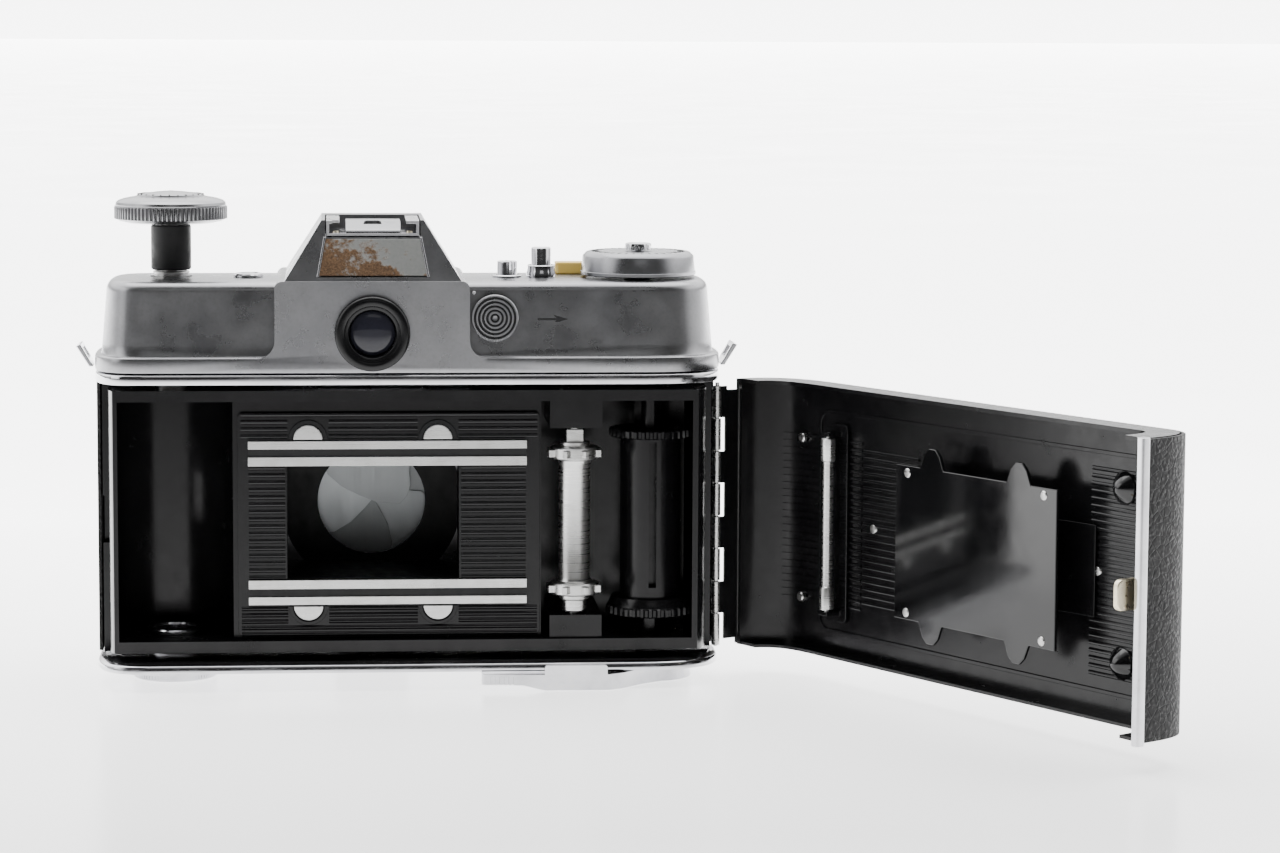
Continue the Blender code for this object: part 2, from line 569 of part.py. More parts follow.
def toothed_wheel(label, low, high):
    points = []
    for i in range(8):
        for offset, radius in ((-13.0, 5.1), (-5.0, 6.1), (5.0, 6.1), (13.0, 5.1)):
            angle = math.radians(45.0 * i + offset + 22.5)
            points.append((SPROCKET[0] + radius * math.cos(angle), SPROCKET[1] + radius * math.sin(angle)))
    return prism("add_wheel_" + label, "machined_metal", points, low, high)


def make_transport():
    profile = [(0.0, 8.0), (1.2, 8.0), (1.2, 11.1), (3.2, 11.1), (3.2, 49.9), (1.2, 49.9), (1.2, 53.0),
               (0.0, 53.0)]
    sprocket = turned("sprocket", "machined_metal", profile, SPROCKET, "Z", 16)
    for label, middle in (("low", LENS_Z - 14.4), ("high", LENS_Z + 14.4)):
        add(sprocket, toothed_wheel(label, middle - 0.9, middle + 0.9))
    profile = [(0.0, 3.5), (2.6, 3.5), (2.6, 9.8), (9.3, 9.8), (9.3, 13.6), (6.4, 13.6), (6.4, 49.5),
               (2.0, 49.5), (2.0, 58.2), (0.0, 58.2)]
    spool = turned("take_up_spool", "matt_black", profile, SPOOL, "Z", 24)
    x, y = SPOOL
    cut_block(spool, "spool_slot", (x - 0.7, y - 8.0, 16.0), (x + 0.7, y - 3.0, 47.0))


# ---------------------------------------------------------------- back door, built closed
def on_door(thing):
    """Swing a piece, built in the closed position round the hinge, to the open rest pose."""
    thing.rotation_euler = (0.0, 0.0, math.radians(DOOR_OPEN))
    return thing


DOOR_ORIGIN = (*HINGE, 0.0)


def door_prism(name, finish, plan, low, high, axis="Z"):
    return on_door(prism(name, finish, plan, low, high, axis, DOOR_ORIGIN))


def door_block(name, finish, low, high):
    return on_door(block(name, finish, low, high, DOOR_ORIGIN))


def door_turned(name, finish, profile, centre, axis, segments, ring=False):
    return on_door(turned(name, finish, profile, centre, axis, segments, ring, DOOR_ORIGIN))


def door_band(name, finish, outer, inner, low, high, right_y, left_y):
    plan = back_run(outer, right_y, left_y) + back_run(inner, right_y, left_y)[::-1]
    return door_prism(name, finish, plan, low, high)


def make_door():
    skin = door_band("back_door", "black_paint", DOOR_SHELL_OUT, DOOR_SHELL_IN, DOOR_LOW, DOOR_HIGH, 3.0, 5.6)
    for label, low, high in (("top", 58.95, DOOR_HIGH), ("bottom", DOOR_LOW, 3.15)):
        add(skin, door_band("add_rim_" + label, "black_paint", 1.0, 6.5, low, high, 2.8, 5.4))
    for label, z in (("upper", LENS_Z + 17.0), ("lower", LENS_Z - 17.0)):
        cone = [(0.0, DOOR_PANEL_Y - 0.6), (2.8, DOOR_PANEL_Y - 0.6), (2.8, DOOR_PANEL_Y + 0.6),
                (1.4, DOOR_PANEL_Y + 2.3), (0.0, DOOR_PANEL_Y + 2.7)]
        add(skin, door_turned("add_stud_" + label, "black_paint", cone, (-38.0, z), "Y", 12))
    door_band("door_leather", "leatherette", -0.3, 0.4, 2.6, 59.7, 3.0, 5.6)
    door_block("door_edge_strip", "bright_chrome", (-58.9, 5.9, 2.2), (-57.0, 7.9, 60.1))
    door_block("door_latch_lug", "brass", (-55.8, 4.2, 27.5), (-54.4, 10.6, 33.5))

    plate = [(-24.6, -15.8), (-16.7, -15.8), (-16.7, -20.0), (-9.7, -20.0), (-9.7, -15.8)]
    plate += [(-x, z) for x, z in reversed(plate)]
    plate += [(-x, -z) for x, z in plate]
    plate = [(PRESSURE_X + x, LENS_Z + z) for x, z in plate]
    door_prism("pressure_plate", "black_paint", plate, -1.15, -0.35, "Y")
    half = [(29.0, -6.5), (20.0, -6.2), (6.0, -2.7)]
    under = [(29.0, -6.95), (19.6, -6.75), (5.8, -3.3)]
    spring = [(-x, y) for x, y in half] + half[::-1] + under + [(-x, y) for x, y in under[::-1]]
    spring = [(PRESSURE_X + x, y) for x, y in spring]
    door_prism("pressure_spring", "matt_black", spring, LENS_Z - 9.0, LENS_Z + 9.0)


def make_roller():
    x, y = ROLLER
    bracket = door_block("roller_bracket", "black_paint", (x - 3.4, -6.95, LENS_Z - 21.0),
                         (x + 3.4, -6.4, LENS_Z + 21.0))
    for side in (-1, 1):
        low, high = sorted((LENS_Z + side * 18.6, LENS_Z + side * 19.4))
        add(bracket, door_block("add_ear_%d" % (side + 2), "black_paint", (x - 1.5, -6.6, low),
                                (x + 1.5, -2.8, high)))
    add_profile = [(0.0, LENS_Z - 22.0), (0.62, LENS_Z - 22.0), (0.62, LENS_Z + 22.0), (0.0, LENS_Z + 22.0)]
    cut(bracket, door_turned("cut_roller_holes", "black_paint", add_profile, ROLLER, "Z", 12))
    half = [(0.0, 19.3), (0.5, 19.3), (0.5, 18.2), (1.55, 18.2), (1.55, 13.4), (1.15, 13.4)]
    profile = [(r, LENS_Z - z) for r, z in half] + [(r, LENS_Z + z) for r, z in reversed(half)]
    roller = turned("guide_roller", "machined_metal", profile, ROLLER, "Z", 14, False, DOOR_ORIGIN)
    on_door(roller)


def make_hinge():
    first = LENS_Z - KNUCKLE_PITCH * KNUCKLE_COUNT / 2.0
    leaves = {}
    leaves["body"] = block("hinge_leaf_body", "machined_metal", (72.3, 9.4, 4.0), (72.8, 12.6, 57.5),
                           DOOR_ORIGIN)
    leaves["door"] = door_block("hinge_leaf_door", "machined_metal", (71.9, 3.4, 4.0), (72.4, 6.6, 57.5))
    for i in range(KNUCKLE_COUNT):
        owner = "body" if i % 2 == 0 else "door"
        low = first + KNUCKLE_PITCH * i + 0.15
        high = low + KNUCKLE_PITCH - GAP
        profile = [(PIN_R + 0.07, low), (KNUCKLE_R, low), (KNUCKLE_R, high), (PIN_R + 0.07, high)]
        tube = turned("add_knuckle_%d" % i, "machined_metal", profile, HINGE, "Z", 10, True, DOOR_ORIGIN)
        near, far = (8.25, 9.8) if owner == "body" else (6.2, 7.75)
        tab = block("add_tab_%d" % i, "machined_metal", (72.0 if owner == "door" else 72.3, near, low),
                    (72.55, far, high), DOOR_ORIGIN)
        if owner == "door":
            on_door(tube)
            on_door(tab)
        add(leaves[owner], tab)
        add(leaves[owner], tube)
    rod("hinge_pin", "machined_metal", PIN_R, first - 0.1, first + KNUCKLE_PITCH * KNUCKLE_COUNT + 0.6,
        HINGE, "Z", 10)


def main():
    clear_scene()
    make_casting()
    make_film_gate()
    make_bottom()
    make_belt()
    make_top_cover()
    make_roof_trim()
    make_viewfinder()
    make_mirror_box()
    make_front()
    make_blades()
    make_leather()
    make_strap_lugs()
    make_rewind()
    make_buttons()
    make_meter()
    make_wind_lever()
    make_transport()
    make_door()
    make_roller()
    make_hinge()


main()
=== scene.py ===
"""Looks of the 35 mm leaf-shutter reflex camera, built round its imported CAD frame.

Sizes are in millimetres in the frame's axes: X right, Y towards the lens, Z up, the
film plane at Y = 0 and the bottom plate's outer face at Z = 0.
"""
import json
import math

import bmesh
import bpy
from mathutils import Matrix, Vector


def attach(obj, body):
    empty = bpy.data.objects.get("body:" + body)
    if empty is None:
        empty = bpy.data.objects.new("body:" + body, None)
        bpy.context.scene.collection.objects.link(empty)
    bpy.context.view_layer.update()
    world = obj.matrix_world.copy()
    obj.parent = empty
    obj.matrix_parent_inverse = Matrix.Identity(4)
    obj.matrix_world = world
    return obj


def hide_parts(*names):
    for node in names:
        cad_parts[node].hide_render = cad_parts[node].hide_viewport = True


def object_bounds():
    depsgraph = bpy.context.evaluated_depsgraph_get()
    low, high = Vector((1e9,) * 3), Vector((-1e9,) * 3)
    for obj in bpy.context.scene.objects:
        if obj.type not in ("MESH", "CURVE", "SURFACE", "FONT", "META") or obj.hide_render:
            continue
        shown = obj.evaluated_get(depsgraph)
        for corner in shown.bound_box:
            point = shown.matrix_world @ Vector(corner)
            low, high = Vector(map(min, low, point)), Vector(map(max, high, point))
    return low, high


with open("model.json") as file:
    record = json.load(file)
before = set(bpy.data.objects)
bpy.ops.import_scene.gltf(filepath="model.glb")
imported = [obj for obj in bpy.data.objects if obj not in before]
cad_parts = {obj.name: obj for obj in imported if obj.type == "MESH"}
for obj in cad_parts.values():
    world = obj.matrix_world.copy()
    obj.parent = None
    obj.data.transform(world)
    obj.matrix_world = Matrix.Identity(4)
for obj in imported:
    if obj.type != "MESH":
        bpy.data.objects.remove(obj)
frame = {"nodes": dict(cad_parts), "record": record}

CAD_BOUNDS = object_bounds()
MM = 0.001

# ---------------------------------------------------------------- sizes shared with the frame (mm)
MID_Y, HALF_DEPTH = 8.0, 17.0
LEFT_CENTRE, LEFT_REACH = -45.8, 12.0
RIGHT_CENTRE, RIGHT_REACH = 53.0, 20.0
ROUNDNESS = 3.0
BACK_Y, FRONT_Y = MID_Y - HALF_DEPTH, MID_Y + HALF_DEPTH
LENS_Z = 30.5
LENS = (0.0, LENS_Z)
HINGE = (73.1, MID_Y)
DOOR_OPEN = math.radians(120.5)
REWIND = (-42.1, 11.5)
SPROCKET = (42.4, 3.0)
SPOOL = (58.9, 8.0)
DIAL = (56.05, 8.0)
RELEASE = (35.5, 8.0)
COUNTER = (28.35, 8.0)
COVER_SCREW = (-25.9, 8.0)
SLIDE_DISC = (25.1, 74.25)
EYEPIECE = (-0.2, 71.2)
TRIPOD = (-42.0, 12.0)
CHAMBER = (-42.2, 11.0)
ROLLER = (50.0, -4.0)
PRESSURE_X = -1.5
SHOULDER_Z, ROOF_Z = 81.6, 94.2
BODY = "camera_body"
FINE = 96                      # segments of a large turned piece
# painted light and shade: one brightness factor per shutter blade, so the same steel is drawn lighter or
# darker on each
BLADE_LIGHT_AND_SHADE = (0.85, 1.2, 0.6, 1.0, 0.72)
PANEL_Y = BACK_Y + 1.7         # inner face of the closed door's flat panel
RIB_PITCH = 1.5
SLIDE_GROOVES = (0.75, 1.6, 2.45, 3.3, 4.15)


# ---------------------------------------------------------------- material building blocks
class Finish:
    """A Principled material and short ways to wire its nodes."""

    def __init__(self, name, metallic=0.0, roughness=0.4, colour=(0.8, 0.8, 0.8)):
        self.material = bpy.data.materials.new(name)
        self.material.use_nodes = True
        self.tree = self.material.node_tree
        self.shader = self.tree.nodes["Principled BSDF"]
        self.shader.inputs["Metallic"].default_value = metallic
        self.shader.inputs["Roughness"].default_value = roughness
        self.shader.inputs["Base Color"].default_value = (*colour, 1.0)
        self.where = self.tree.nodes.new("ShaderNodeTexCoord").outputs["Object"]
        self.height = None

    def link(self, source, target):
        self.tree.links.new(source, target)

    def stretched(self, scale):
        node = self.tree.nodes.new("ShaderNodeMapping")
        node.inputs["Scale"].default_value = scale
        self.link(self.where, node.inputs["Vector"])
        return node.outputs["Vector"]

    def noise(self, scale, detail=4.0, stretch=None, rough=0.6):
        node = self.tree.nodes.new("ShaderNodeTexNoise")
        node.inputs["Scale"].default_value = scale
        node.inputs["Detail"].default_value = detail
        node.inputs["Roughness"].default_value = rough
        self.link(self.stretched(stretch) if stretch else self.where, node.inputs["Vector"])
        return node.outputs["Fac"]

    def cells(self, scale, feature="F1", stretch=None):
        node = self.tree.nodes.new("ShaderNodeTexVoronoi")
        node.feature = feature
        node.inputs["Scale"].default_value = scale
        self.link(self.stretched(stretch) if stretch else self.where, node.inputs["Vector"])
        return node.outputs["Distance"]

    def spread(self, value, low_in, high_in, low, high):
        node = self.tree.nodes.new("ShaderNodeMapRange")
        for key, number in (("From Min", low_in), ("From Max", high_in), ("To Min", low), ("To Max", high)):
            node.inputs[key].default_value = number
        self.link(value, node.inputs["Value"])
        return node.outputs["Result"]

    def maths(self, operation, first, second):
        node = self.tree.nodes.new("ShaderNodeMath")
        node.operation = operation
        for i, value in enumerate((first, second)):
            if isinstance(value, float):
                node.inputs[i].default_value = value
            else:
                self.link(value, node.inputs[i])
        return node.outputs[0]

    def mix(self, factor, first, second):
        node = self.tree.nodes.new("ShaderNodeMix")
        node.data_type = "RGBA"
        self.link(factor, node.inputs["Factor"])
        for key, value in (("A", first), ("B", second)):
            socket = [s for s in node.inputs if s.name == key and s.type == "RGBA"][0]
            if isinstance(value, tuple):
                socket.default_value = (*value, 1.0)
            else:
                self.link(value, socket)
        return [s for s in node.outputs if s.type == "RGBA"][0]

    def colour(self, value):
        self.link(value, self.shader.inputs["Base Color"])

    def roughness(self, value):
        self.link(value, self.shader.inputs["Roughness"])

    def bump(self, value, depth_mm, strength=1.0):
        node = self.tree.nodes.new("ShaderNodeBump")
        node.inputs["Strength"].default_value = strength
        node.inputs["Distance"].default_value = depth_mm * MM
        self.link(value, node.inputs["Height"])
        if self.height:
            self.link(self.height, node.inputs["Normal"])
        self.height = node.outputs["Normal"]
        self.link(self.height, self.shader.inputs["Normal"])


def satin_chrome():
    """Fine bead-blasted chrome, softly clouded by handling, with a faint speckle."""
    f = Finish("satin_chrome", 1.0)
    cloud = f.spread(f.noise(38.0, 4.0), 0.35, 0.65, 0.0, 1.0)
    tone = f.mix(cloud, (0.215, 0.217, 0.228), (0.27, 0.27, 0.277))
    speckle = f.spread(f.noise(1400.0, 2.0), 0.45, 0.8, 0.0, 0.22)
    f.colour(f.mix(speckle, tone, (0.15, 0.148, 0.145)))
    f.roughness(f.spread(f.noise(120.0, 5.0), 0.3, 0.7, 0.24, 0.34))
    f.bump(f.noise(2600.0, 2.0), 0.004, 0.3)
    return f.material


def bright_chrome():
    """Polished chrome with faint haze and hairline wear."""
    f = Finish("bright_chrome", 1.0)
    haze = f.noise(90.0, 6.0)
    f.colour(f.mix(f.spread(haze, 0.4, 0.7, 0.0, 1.0), (0.62, 0.62, 0.64), (0.50, 0.50, 0.52)))
    hair = f.noise(900.0, 3.0, (0.08, 1.0, 1.0))
    f.roughness(f.spread(f.maths("MULTIPLY", haze, hair), 0.15, 0.4, 0.07, 0.26))
    f.bump(f.noise(300.0, 3.0), 0.01, 0.25)
    return f.material


def machined_metal():
    """Bare light alloy with fine turning and milling marks."""
    f = Finish("machined_metal", 1.0)
    marks = f.noise(2200.0, 2.0, (0.02, 0.02, 1.0))
    stain = f.noise(160.0, 5.0)
    f.colour(f.mix(f.spread(stain, 0.45, 0.75, 0.0, 1.0), (0.56, 0.56, 0.55), (0.44, 0.435, 0.42)))
    f.roughness(f.spread(marks, 0.3, 0.7, 0.24, 0.34))
    f.bump(marks, 0.002, 0.15)
    return f.material


def black_paint(gloss=1.0):
    """Glossy stoved black paint with a slight orange peel and a trace of dust."""
    f = Finish("black_paint", 0.0)
    dust = f.spread(f.cells(420.0), 0.02, 0.04, 0.5, 0.0)
    cloud = f.noise(70.0, 4.0)
    base = f.mix(f.spread(cloud, 0.3, 0.7, 0.0, 1.0), (0.002, 0.002, 0.0022), (0.0045, 0.0045, 0.005))
    f.colour(f.mix(dust, base, (0.03, 0.03, 0.028)))
    f.roughness(f.spread(f.noise(210.0, 5.0), 0.3, 0.7, 0.16 / gloss, 0.28 / gloss))
    f.bump(f.noise(850.0, 2.0), 0.02 / gloss, 0.15 / gloss)
    f.shader.inputs["Specular IOR Level"].default_value = 0.26 + 0.1 * (gloss - 1.0)
    return f.material


def matt_black():
    """Dull anti-reflection black, slightly mottled."""
    f = Finish("matt_black", 0.0)
    f.colour(f.mix(f.noise(180.0, 5.0), (0.003, 0.003, 0.003), (0.009, 0.009, 0.010)))
    f.roughness(f.spread(f.noise(400.0, 4.0), 0.3, 0.7, 0.42, 0.62))
    f.bump(f.noise(3200.0, 2.0), 0.012, 0.5)
    f.shader.inputs["Specular IOR Level"].default_value = 0.3
    return f.material


def leatherette():
    """Black leather-grain covering: rounded pebbles with fine creases between them."""
    f = Finish("leatherette", 0.0)
    pebbles = f.cells(1250.0, "SMOOTH_F1")
    creases = f.cells(560.0, "DISTANCE_TO_EDGE")
    worn = f.noise(60.0, 5.0)
    f.colour(f.mix(f.spread(worn, 0.35, 0.75, 0.0, 1.0), (0.004, 0.004, 0.0045), (0.011, 0.0105, 0.0105)))
    f.roughness(f.spread(pebbles, 0.0, 0.5, 0.34, 0.60))
    f.bump(f.spread(pebbles, 0.0, 0.6, 1.0, 0.0), 0.16, 0.9)
    f.bump(f.spread(creases, 0.0, 0.10, 0.0, 1.0), 0.14, 0.7)
    f.shader.inputs["Specular IOR Level"].default_value = 0.28
    return f.material


def corroded_plate():
    """Grey plate whose finish has lifted into brown rust along its lower left and middle."""
    f = Finish("corroded_plate", 0.5)
    split = f.tree.nodes.new("ShaderNodeSeparateXYZ")
    f.link(f.where, split.inputs[0])
    lean = f.maths("ADD", f.spread(split.outputs["X"], -0.011, 0.011, 0.20, -0.06),
                   f.spread(split.outputs["Z"], 0.083, 0.0905, 0.10, -0.02))
    patches = f.maths("ADD", f.noise(230.0, 8.0, None, 0.72), lean)
    rust = f.spread(patches, 0.56, 0.66, 0.0, 1.0)
    grain = f.noise(2400.0, 6.0, None, 0.7)
    brown = f.mix(f.spread(grain, 0.35, 0.65, 0.0, 1.0), (0.045, 0.026, 0.014), (0.17, 0.098, 0.05))
    grey = f.mix(f.noise(1500.0, 5.0), (0.17, 0.18, 0.175), (0.26, 0.26, 0.25))
    f.colour(f.mix(rust, grey, brown))
    f.roughness(f.spread(rust, 0.0, 1.0, 0.42, 0.85))
    f.bump(f.maths("MULTIPLY", grain, rust), 0.10, 0.8)
    return f.material


def blade_steel(tone=1.0):
    """Thin blued steel with a soft grain that runs across each leaf; tone scales its colour, painted light
    and shade that draws each blade lighter or darker.
    """
    f = Finish("blade_steel", 0.3)
    light = tuple(tone * c for c in (0.66, 0.69, 0.70))
    f.colour(f.mix(f.noise(70.0, 4.0), tuple(0.7 * c for c in light), light))
    f.roughness(f.spread(f.noise(1800.0, 3.0, (1.0, 1.0, 0.05)), 0.3, 0.7, 0.32, 0.50))
    f.bump(f.noise(2500.0, 2.0), 0.006, 0.4)
    return f.material


def optical_glass():
    """Coated glass: almost black inside, with a faint blue cast and clean gloss."""
    f = Finish("optical_glass", 0.0)
    f.colour(f.mix(f.noise(40.0, 3.0), (0.010, 0.012, 0.016), (0.022, 0.020, 0.030)))
    f.roughness(f.spread(f.noise(300.0, 4.0), 0.3, 0.7, 0.015, 0.06))
    f.shader.inputs["Coat Weight"].default_value = 0.15
    f.shader.inputs["Coat Roughness"].default_value = 0.02
    f.shader.inputs["Specular IOR Level"].default_value = 0.3
    return f.material


def amber_plastic():
    """Aged clear plastic gone yellow, cloudier towards its middle."""
    f = Finish("amber_plastic", 0.0)
    f.colour(f.mix(f.noise(240.0, 5.0), (0.78, 0.52, 0.09), (0.86, 0.66, 0.20)))
    f.roughness(f.spread(f.noise(500.0, 4.0), 0.3, 0.7, 0.10, 0.28))
    f.shader.inputs["Subsurface Weight"].default_value = 0.35
    f.shader.inputs["Subsurface Radius"].default_value = (0.004, 0.003, 0.001)
    return f.material


def brass_lug():
    f = Finish("brass_lug", 1.0)
    f.colour(f.mix(f.noise(500.0, 5.0), (0.66, 0.58, 0.40), (0.80, 0.74, 0.58)))
    f.roughness(f.spread(f.noise(900.0, 4.0), 0.3, 0.7, 0.22, 0.42))
    f.bump(f.noise(2200.0, 2.0), 0.01, 0.4)
    return f.material


def mirror_silver():
    f = Finish("mirror_silver", 1.0)
    f.colour(f.mix(f.noise(60.0, 3.0), (0.84, 0.85, 0.86), (0.90, 0.90, 0.91)))
    f.roughness(f.spread(f.noise(300.0, 5.0), 0.3, 0.7, 0.02, 0.09))
    return f.material


def glowing_floor_card():
    """White card that falls off to grey towards the viewer, out of sight of the lens, and glows: painted
    light, its own emission weak towards the viewer and strong further off.
    """
    f = Finish("glowing_floor_card", 0.0)
    split = f.tree.nodes.new("ShaderNodeSeparateXYZ")
    f.link(f.where, split.inputs[0])
    near = f.spread(split.outputs["Y"], -1.55, -1.2, 0.0, 1.0)
    white = f.mix(f.noise(3.0, 3.0), (0.90, 0.90, 0.905), (0.93, 0.93, 0.93))
    f.colour(f.mix(near, (0.12, 0.12, 0.12), white))
    f.roughness(f.spread(f.noise(8.0, 3.0), 0.3, 0.7, 0.16, 0.24))
    f.shader.inputs["Specular IOR Level"].default_value = 0.35
    # painted light: the card glows white, from strength 0.5 towards the viewer to 4.0 further off, in place
    # of light falling on it
    f.shader.inputs["Emission Color"].default_value = (1.0, 1.0, 1.0, 1.0)
    f.link(f.spread(split.outputs["Y"], -1.15, -0.75, 0.5, 4.0), f.shader.inputs["Emission Strength"])
    return f.material


MATERIALS = {make.__name__: make() for make in (
    satin_chrome, bright_chrome, machined_metal, black_paint, matt_black, leatherette, corroded_plate,
    blade_steel, optical_glass, amber_plastic, brass_lug, mirror_silver)}


# ---------------------------------------------------------------- mesh helpers
def smooth(thing, degrees=32.0):
    thing.data.shade_smooth()
    thing.data.set_sharp_from_angle(angle=math.radians(degrees))


def bevelled(thing, width_mm, segments=3, degrees=35.0):
    bevel = thing.modifiers.new("edges", "BEVEL")
    bevel.width = width_mm * MM
    bevel.segments = segments
    bevel.limit_method = "ANGLE"
    bevel.angle_limit = math.radians(degrees)
    bevel.harden_normals = True
    return thing


def applied(thing):
    """Bake the modifiers into the mesh."""
    graph = bpy.context.evaluated_depsgraph_get()
    mesh = bpy.data.meshes.new_from_object(thing.evaluated_get(graph))
    thing.modifiers.clear()
    thing.data = mesh
    return thing


def raw(name, build):
    """An object in the scene from build(bm) in millimetres, not yet a piece."""
    bm = bmesh.new()
    build(bm)
    bmesh.ops.recalc_face_normals(bm, faces=bm.faces)
    bmesh.ops.scale(bm, vec=(MM, MM, MM), verts=bm.verts)
    mesh = bpy.data.meshes.new(name)
    bm.to_mesh(mesh)
    bm.free()
    thing = bpy.data.objects.new(name, mesh)
    bpy.context.scene.collection.objects.link(thing)
    return thing


def placed(axis, first, second, along):
    if axis == "X":
        return (along, first, second)
    if axis == "Y":
        return (first, along, second)
    return (first, second, along)


def prism(name, plan, low, high, axis="Z"):
    def build(bm):
        ends = []
        for level in (low, high):
            ends.append([bm.verts.new(placed(axis, u, v, level)) for u, v in plan])
            bm.faces.new(ends[-1])
        for i in range(len(plan)):
            j = (i + 1) % len(plan)
            bm.faces.new((ends[0][i], ends[0][j], ends[1][j], ends[1][i]))
    return raw(name, build)


def block(name, low, high):
    plan = [(low[0], low[1]), (high[0], low[1]), (high[0], high[1]), (low[0], high[1])]
    return prism(name, plan, low[2], high[2])


def loft(name, sections):
    def build(bm):
        rings = [[bm.verts.new((x, y, z)) for x, y in plan] for z, plan in sections]
        bm.faces.new(rings[0])
        bm.faces.new(rings[-1])
        for lower, upper in zip(rings, rings[1:]):
            for i in range(len(lower)):
                j = (i + 1) % len(lower)
                bm.faces.new((lower[i], lower[j], upper[j], upper[i]))
    return raw(name, build)


def turned(name, profile, centre, axis="Z", segments=FINE, ring=False, wave=None):
    """Turn a profile of (radius, height); wave(angle, height) is added to the radius."""
    def build(bm):
        rows = []
        for radius, height in profile:
            if radius == 0.0:
                rows.append([bm.verts.new(placed(axis, *centre, height))])
                continue
            row = []
            for i in range(segments):
                angle = 2.0 * math.pi * i / segments
                r = radius + (wave(i, height, radius) if wave else 0.0)
                row.append(bm.verts.new(placed(axis, centre[0] + r * math.cos(angle),
                                               centre[1] + r * math.sin(angle), height)))
            rows.append(row)
        if ring:
            rows.append(rows[0])
        for upper, lower in zip(rows, rows[1:]):
            for i in range(segments):
                j = (i + 1) % segments
                corners = [upper[i % len(upper)], upper[j % len(upper)],
                           lower[j % len(lower)], lower[i % len(lower)]]
                bm.faces.new(list(dict.fromkeys(corners)))
    return raw(name, build)


def rod(name, radius, low, high, centre, axis="Z", segments=48, edge=0.15):
    profile = [(0.0, low), (radius - edge, low), (radius, low + edge), (radius, high - edge),
               (radius - edge, high), (0.0, high)]
    return turned(name, profile, centre, axis, segments)


def arc(centre, radius, start, end, count):
    points = []
    for i in range(count + 1):
        angle = math.radians(start + (end - start) * i / count)
        points.append((centre[0] + radius * math.cos(angle), centre[1] + radius * math.sin(angle)))
    return points


def rounded_rectangle(low_x, high_x, low_z, high_z, radius, steps=8):
    points = arc((high_x - radius, low_z + radius), radius, -90.0, 0.0, steps)
    points += arc((high_x - radius, high_z - radius), radius, 0.0, 90.0, steps)
    points += arc((low_x + radius, high_z - radius), radius, 90.0, 180.0, steps)
    points += arc((low_x + radius, low_z + radius), radius, 180.0, 270.0, steps)
    return points


def combine(target, tool, operation):
    boolean = target.modifiers.new("shape", "BOOLEAN")
    boolean.operation = operation
    boolean.solver = "EXACT"
    boolean.object = tool
    applied(target)
    bpy.data.objects.remove(tool, do_unlink=True)
    return target


def cut(target, tool):
    return combine(target, tool, "DIFFERENCE")


def add(target, tool):
    return combine(target, tool, "UNION")


def joined(name, things):
    """Several meshes as one object."""
    bm = bmesh.new()
    for thing in things:
        bm.from_mesh(thing.data)
        bpy.data.objects.remove(thing, do_unlink=True)
    mesh = bpy.data.meshes.new(name)
    bm.to_mesh(mesh)
    bm.free()
    result = bpy.data.objects.new(name, mesh)
    bpy.context.scene.collection.objects.link(result)
    return result


def on_door(thing):
    """Turn a mesh built with the door closed to the door's open rest pose."""
    pivot = Vector((HINGE[0] * MM, HINGE[1] * MM, 0.0))
    turn = Matrix.Translation(pivot) @ Matrix.Rotation(DOOR_OPEN, 4, "Z") @ Matrix.Translation(-pivot)
    thing.data.transform(turn)
    return thing


def piece(thing, finish, body=BODY, replaces=(), bevel=0.0, segments=3, degrees=35.0, soft=32.0):
    """Make a mesh a piece of the object: its finish, edges, body and the nodes it stands for."""
    thing.data.materials.clear()
    thing.data.materials.append(MATERIALS[finish])
    smooth(thing, soft)
    if bevel:
        bevelled(thing, bevel, segments, degrees)
    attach(thing, body)
    if replaces:
        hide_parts(*replaces)
    return thing


# ---------------------------------------------------------------- plan of the body
def plan_point(angle, inset):
    reach, centre = RIGHT_REACH, RIGHT_CENTRE
    if math.cos(math.radians(angle)) < 0.0:
        reach, centre = LEFT_REACH, LEFT_CENTRE
    c = math.cos(math.radians(angle))
    s = math.sin(math.radians(angle))
    power = 2.0 / ROUNDNESS
    x = centre + (reach - inset) * math.copysign(abs(c) ** power, c)
    return (x, MID_Y + (HALF_DEPTH - inset) * math.copysign(abs(s) ** power, s))


def plan_x(side, y, inset):
    reach, centre = (RIGHT_REACH, RIGHT_CENTRE) if side > 0 else (LEFT_REACH, LEFT_CENTRE)
    share = min(1.0, abs(y - MID_Y) / (HALF_DEPTH - inset))
    return centre + side * (reach - inset) * (1.0 - share ** ROUNDNESS) ** (1.0 / ROUNDNESS)


QUARTER = [0.0, 2.0, 5.0, 9.0] + [14.0 + 5.6 * i for i in range(13)] + [84.0, 87.0, 89.0, 90.0]


def outline(inset):
    right = [plan_point(-a, inset) for a in reversed(QUARTER)] + [plan_point(a, inset) for a in QUARTER[1:]]
    left = [plan_point(180.0 - a + 0.001, inset) for a in reversed(QUARTER)]
    left += [plan_point(179.999 + a, inset) for a in QUARTER[1:]]
    return right + left


def side_run(side, inset, start_y, end_y, count=24):
    ys = [start_y + (end_y - start_y) * i / count for i in range(count + 1)]
    return [(plan_x(side, y, inset), y) for y in ys]


def back_run(inset, right_y, left_y):
    points = [(plan_x(1, right_y, inset), right_y)]
    points += [p for p in (plan_point(-a, inset) for a in QUARTER) if p[1] < right_y - 0.1]
    points += [p for p in (plan_point(179.999 + a, inset) for a in reversed(QUARTER)) if p[1] < left_y - 0.1]
    return points + [(plan_x(-1, left_y, inset), left_y)]


def front_run(inset, side, start_y, end_x):
    points = [(plan_x(side, start_y, inset), start_y)]
    for a in QUARTER:
        x, y = plan_point(a if side > 0 else 180.001 - a, inset)
        if y > start_y + 0.1:
            points.append((x, y))
    return points + [(end_x, FRONT_Y - inset)]


